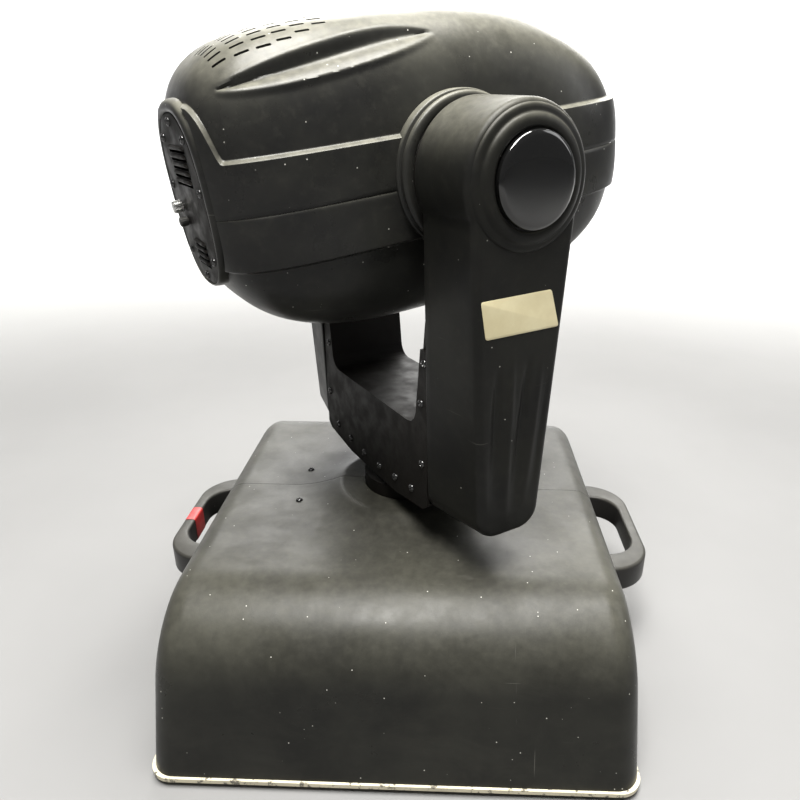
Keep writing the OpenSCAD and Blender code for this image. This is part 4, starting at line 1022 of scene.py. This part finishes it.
def base_distance(x, y, z):
    lean, tip, slope = math.radians(FACE_LEAN), math.radians(SIDE_LEAN), math.radians(MOUND_SLOPE)
    face = (np.abs(y) - BASE_D) * math.cos(lean) + (z - BASE_FOOT) * math.sin(lean)
    side = (np.abs(x) - BASE_W) * math.cos(tip) + (z - BASE_FOOT) * math.sin(tip)
    profile = round_max(face, z - BASE_TOP, ROLL_R, math.sin(lean))
    box = round_max(profile, side, SIDE_R, math.sin(tip) * 0.5)
    rho = np.hypot(x, y)
    cone = round_max(z - MOUND_TOP, (rho - MOUND_R) * math.sin(slope) + (z - BASE_TOP) * math.cos(slope),
                     MOUND_ROUND, math.cos(slope))
    cone = np.maximum(cone, rho - MOUND_END)
    return round_min(box, cone, MOUND_BLEND)


def base_wall(angles):
    """The cover's outer skin: one column of points for each plan angle, from the rim up to the hole."""
    beta = np.linspace(0, math.pi / 2, WALL_RAYS)
    ca, sa = np.cos(angles)[:, None], np.sin(angles)[:, None]
    low, high = np.zeros((len(angles), WALL_RAYS)), np.full((len(angles), WALL_RAYS), RAY_L)
    for _ in range(44):
        t = (low + high) / 2
        rho, z = HOLE_R + t * np.cos(beta), WALL_FROM + t * np.sin(beta)
        inside = base_distance(rho * ca, rho * sa, z) < 0
        low, high = np.where(inside, t, low), np.where(inside, high, t)
    rho, z = HOLE_R + low * np.cos(beta), WALL_FROM + low * np.sin(beta)
    step = np.hypot(np.diff(rho, axis=1), np.diff(z, axis=1))
    way = np.concatenate([np.zeros((len(angles), 1)), np.cumsum(step, axis=1)], 1)
    share = np.linspace(0, 1, WALL_ROWS)
    out = np.empty((WALL_ROWS, len(angles), 3))
    for i, a in enumerate(angles):
        s = share * way[i, -1]
        r, h = np.interp(s, way[i], rho[i]), np.interp(s, way[i], z[i])
        out[:, i] = np.stack([r * math.cos(a), r * math.sin(a), h], -1)
    return out


def plan_angles(start, end):
    """Plan angles between start and end in degrees, closer together at the box's upright corners."""
    corner = math.degrees(math.atan2(BASE_D, BASE_W))
    fine = np.linspace(start, end, 2000)
    near = sum(np.exp(-((fine - c) / 7.0) ** 2) for c in (corner, 180 - corner, 180 + corner, 360 - corner))
    way = np.cumsum(1 + 5 * near)
    return np.radians(np.interp(np.linspace(way[0], way[-1], PLAN_STEPS), way, fine))


def make_base():
    for name, node, start, side in (("base_rear_cover", "rear_cover", 0, 1),
                                    ("base_front_cover", "front_cover", 180, -1)):
        pts = base_wall(plan_angles(start, start + 180))
        pts[:, 0, 1] = pts[:, -1, 1] = side * COVER_GAP
        b = Build(BASE)
        b.grid(pts)
        b.make(name, "base", "cover_plastic", [node], material="base_plastic", shell=BASE_WALL, sharp=40,
               cut=panel_cutter() if side > 0 else None)


def panel_cutter():
    place = Matrix.Translation((0, BASE_D, BASE_FOOT)) @ Matrix.Rotation(math.radians(FACE_LEAN), 4, "X")
    pts = [(x, y, z) for x in PANEL_X for y in PANEL_Y for z in PANEL_Z]
    faces = [(0, 1, 3, 2), (4, 6, 7, 5), (0, 4, 5, 1), (2, 3, 7, 6), (0, 2, 6, 4), (1, 5, 7, 3)]
    mesh = bpy.data.meshes.new("panel_cutter")
    mesh.from_pydata(as_points(place, pts).tolist(), [], faces)
    return placed("panel_cutter", mesh)


# Handles in plan: ends of the legs, outer and inner edge of the grip, ends and corner radii of the
# outer and inner outline. Then height of the middle, thickness and rounding
LEG_END = 204.4
GRIP_OUT, GRIP_IN = 256, 244
D_OUT, D_OUT_R = (-69, 101), 44
D_IN, D_IN_R = (-41, 73), 30
HANDLE_Z, HANDLE_T, HANDLE_ROUND = 92, 28, 3.2
# The tape's loop round the grip as x0, x1, z0, z1 and corner radius, and its rows as (y, thickness)
TAPE_LOOP = (243.75, 255.75, 77.75, 106.25, 3.2)
TAPE_ROWS = ((4, 0.0), (4.01, 0.25), (10, 0.3), (22, 0.3), (29, 0.25), (29.01, 0.0))
TAPE_REACH = 18


def d_loop(side):
    """Outline of a carrying handle in plan: a grip bar with two legs that end on the side of the base."""
    outer = [(LEG_END, D_OUT[0])]
    outer += arc(GRIP_OUT - D_OUT_R, D_OUT[0] + D_OUT_R, D_OUT_R, -90, 0)
    outer += arc(GRIP_OUT - D_OUT_R, D_OUT[1] - D_OUT_R, D_OUT_R, 0, 90) + [(LEG_END, D_OUT[1])]
    inner = [(LEG_END, D_IN[1])]
    inner += arc(GRIP_IN - D_IN_R, D_IN[1] - D_IN_R, D_IN_R, 90, 0)
    inner += arc(GRIP_IN - D_IN_R, D_IN[0] + D_IN_R, D_IN_R, 0, -90) + [(LEG_END, D_IN[0])]
    return [(side * x, y) for x, y in outer + inner]


def make_handles():
    for side, name in ((-1, "left"), (1, "right")):
        b = Build(BASE)
        b.add(*plate_mesh(d_loop(side), HANDLE_T, HANDLE_ROUND, Matrix.Translation((0, 0, HANDLE_Z)), 4))
        b.make(f"{name}_carry_handle", "base", "handle_plastic", [f"{name}_handle"], sharp=40)
    tape = Build(BASE)
    rim = np.array(rounded_loop(*TAPE_LOOP, 8))
    mid = rim.mean(0)
    rows = []
    for y, grow in TAPE_ROWS:
        r = mid + (rim - mid) * (1 + grow / TAPE_REACH)
        rows.append(np.stack([-r[:, 0], 0 * r[:, 0] + y, r[:, 1]], -1))
    tape.grid(np.stack(rows), wrap=True)
    tape.make("left_grip_tape", "base", "handle_plastic", material="tape_red", sharp=50)


# ---- Everything else: CAD pieces with finishes ----

def finish_nodes():
    slots = {s["node"]: s["material_slot"] for s in frame["record"]["subparts"]}
    for name, obj in frame["nodes"].items():
        obj.data.materials.clear()
        obj.data.materials.append(MATS[slots[name]])


# The floor in metres: half width, where it starts to turn up, radius of the turn and top of the wall
FLOOR_HALF, TURN_Y, TURN_R, WALL_TOP = 25.0, 4.0, 2.0, 14.0


def make_floor():
    mesh = bpy.data.meshes.new("floor")
    bend = [(TURN_Y + TURN_R * math.sin(a), TURN_R - TURN_R * math.cos(a))
            for a in np.linspace(0, 1, 40) * math.pi / 2]
    line = [(-FLOOR_HALF, 0.0)] + bend + [(TURN_Y + TURN_R, WALL_TOP)]
    pts = [(x, y, z) for y, z in line for x in (-FLOOR_HALF, FLOOR_HALF)]
    faces = [(2 * i, 2 * i + 1, 2 * i + 3, 2 * i + 2) for i in range(len(line) - 1)]
    mesh.from_pydata(pts, [], faces)
    mesh.polygons.foreach_set("use_smooth", [True] * len(mesh.polygons))
    obj = placed("floor", mesh)
    obj.data.materials.append(MATS["floor_pale"])


NEAR_FACE, FAR_FACE = 176, 167

make_camera()
make_world()
for light in LIGHTS:
    area_light(*light)
bpy.context.scene.view_settings.view_transform = "Standard"
finish_nodes()
make_head()
make_rear_plate()
make_knob("lamp_adjust_grip", "lamp_adjust_knob", "knob_steel", ADJUST_AT, ADJUST_PROFILE, ADJUST_STEM,
          ADJUST_KNURL, 96)
make_knob("lamp_lock_grip", "lamp_lock_knob", "black_resin", LOCK_AT, LOCK_PROFILE, LOCK_STEM, LOCK_KNURL, 72)
make_arm("near_arm_shell", -1, NEAR_FACE, ["near_arm_cover"], "near_pivot_cap")
make_arm("far_arm_shell", 1, FAR_FACE, ["far_arm_cover"], "far_pivot_cap")
make_label()
make_screws()
make_base()
make_handles()
make_floor()
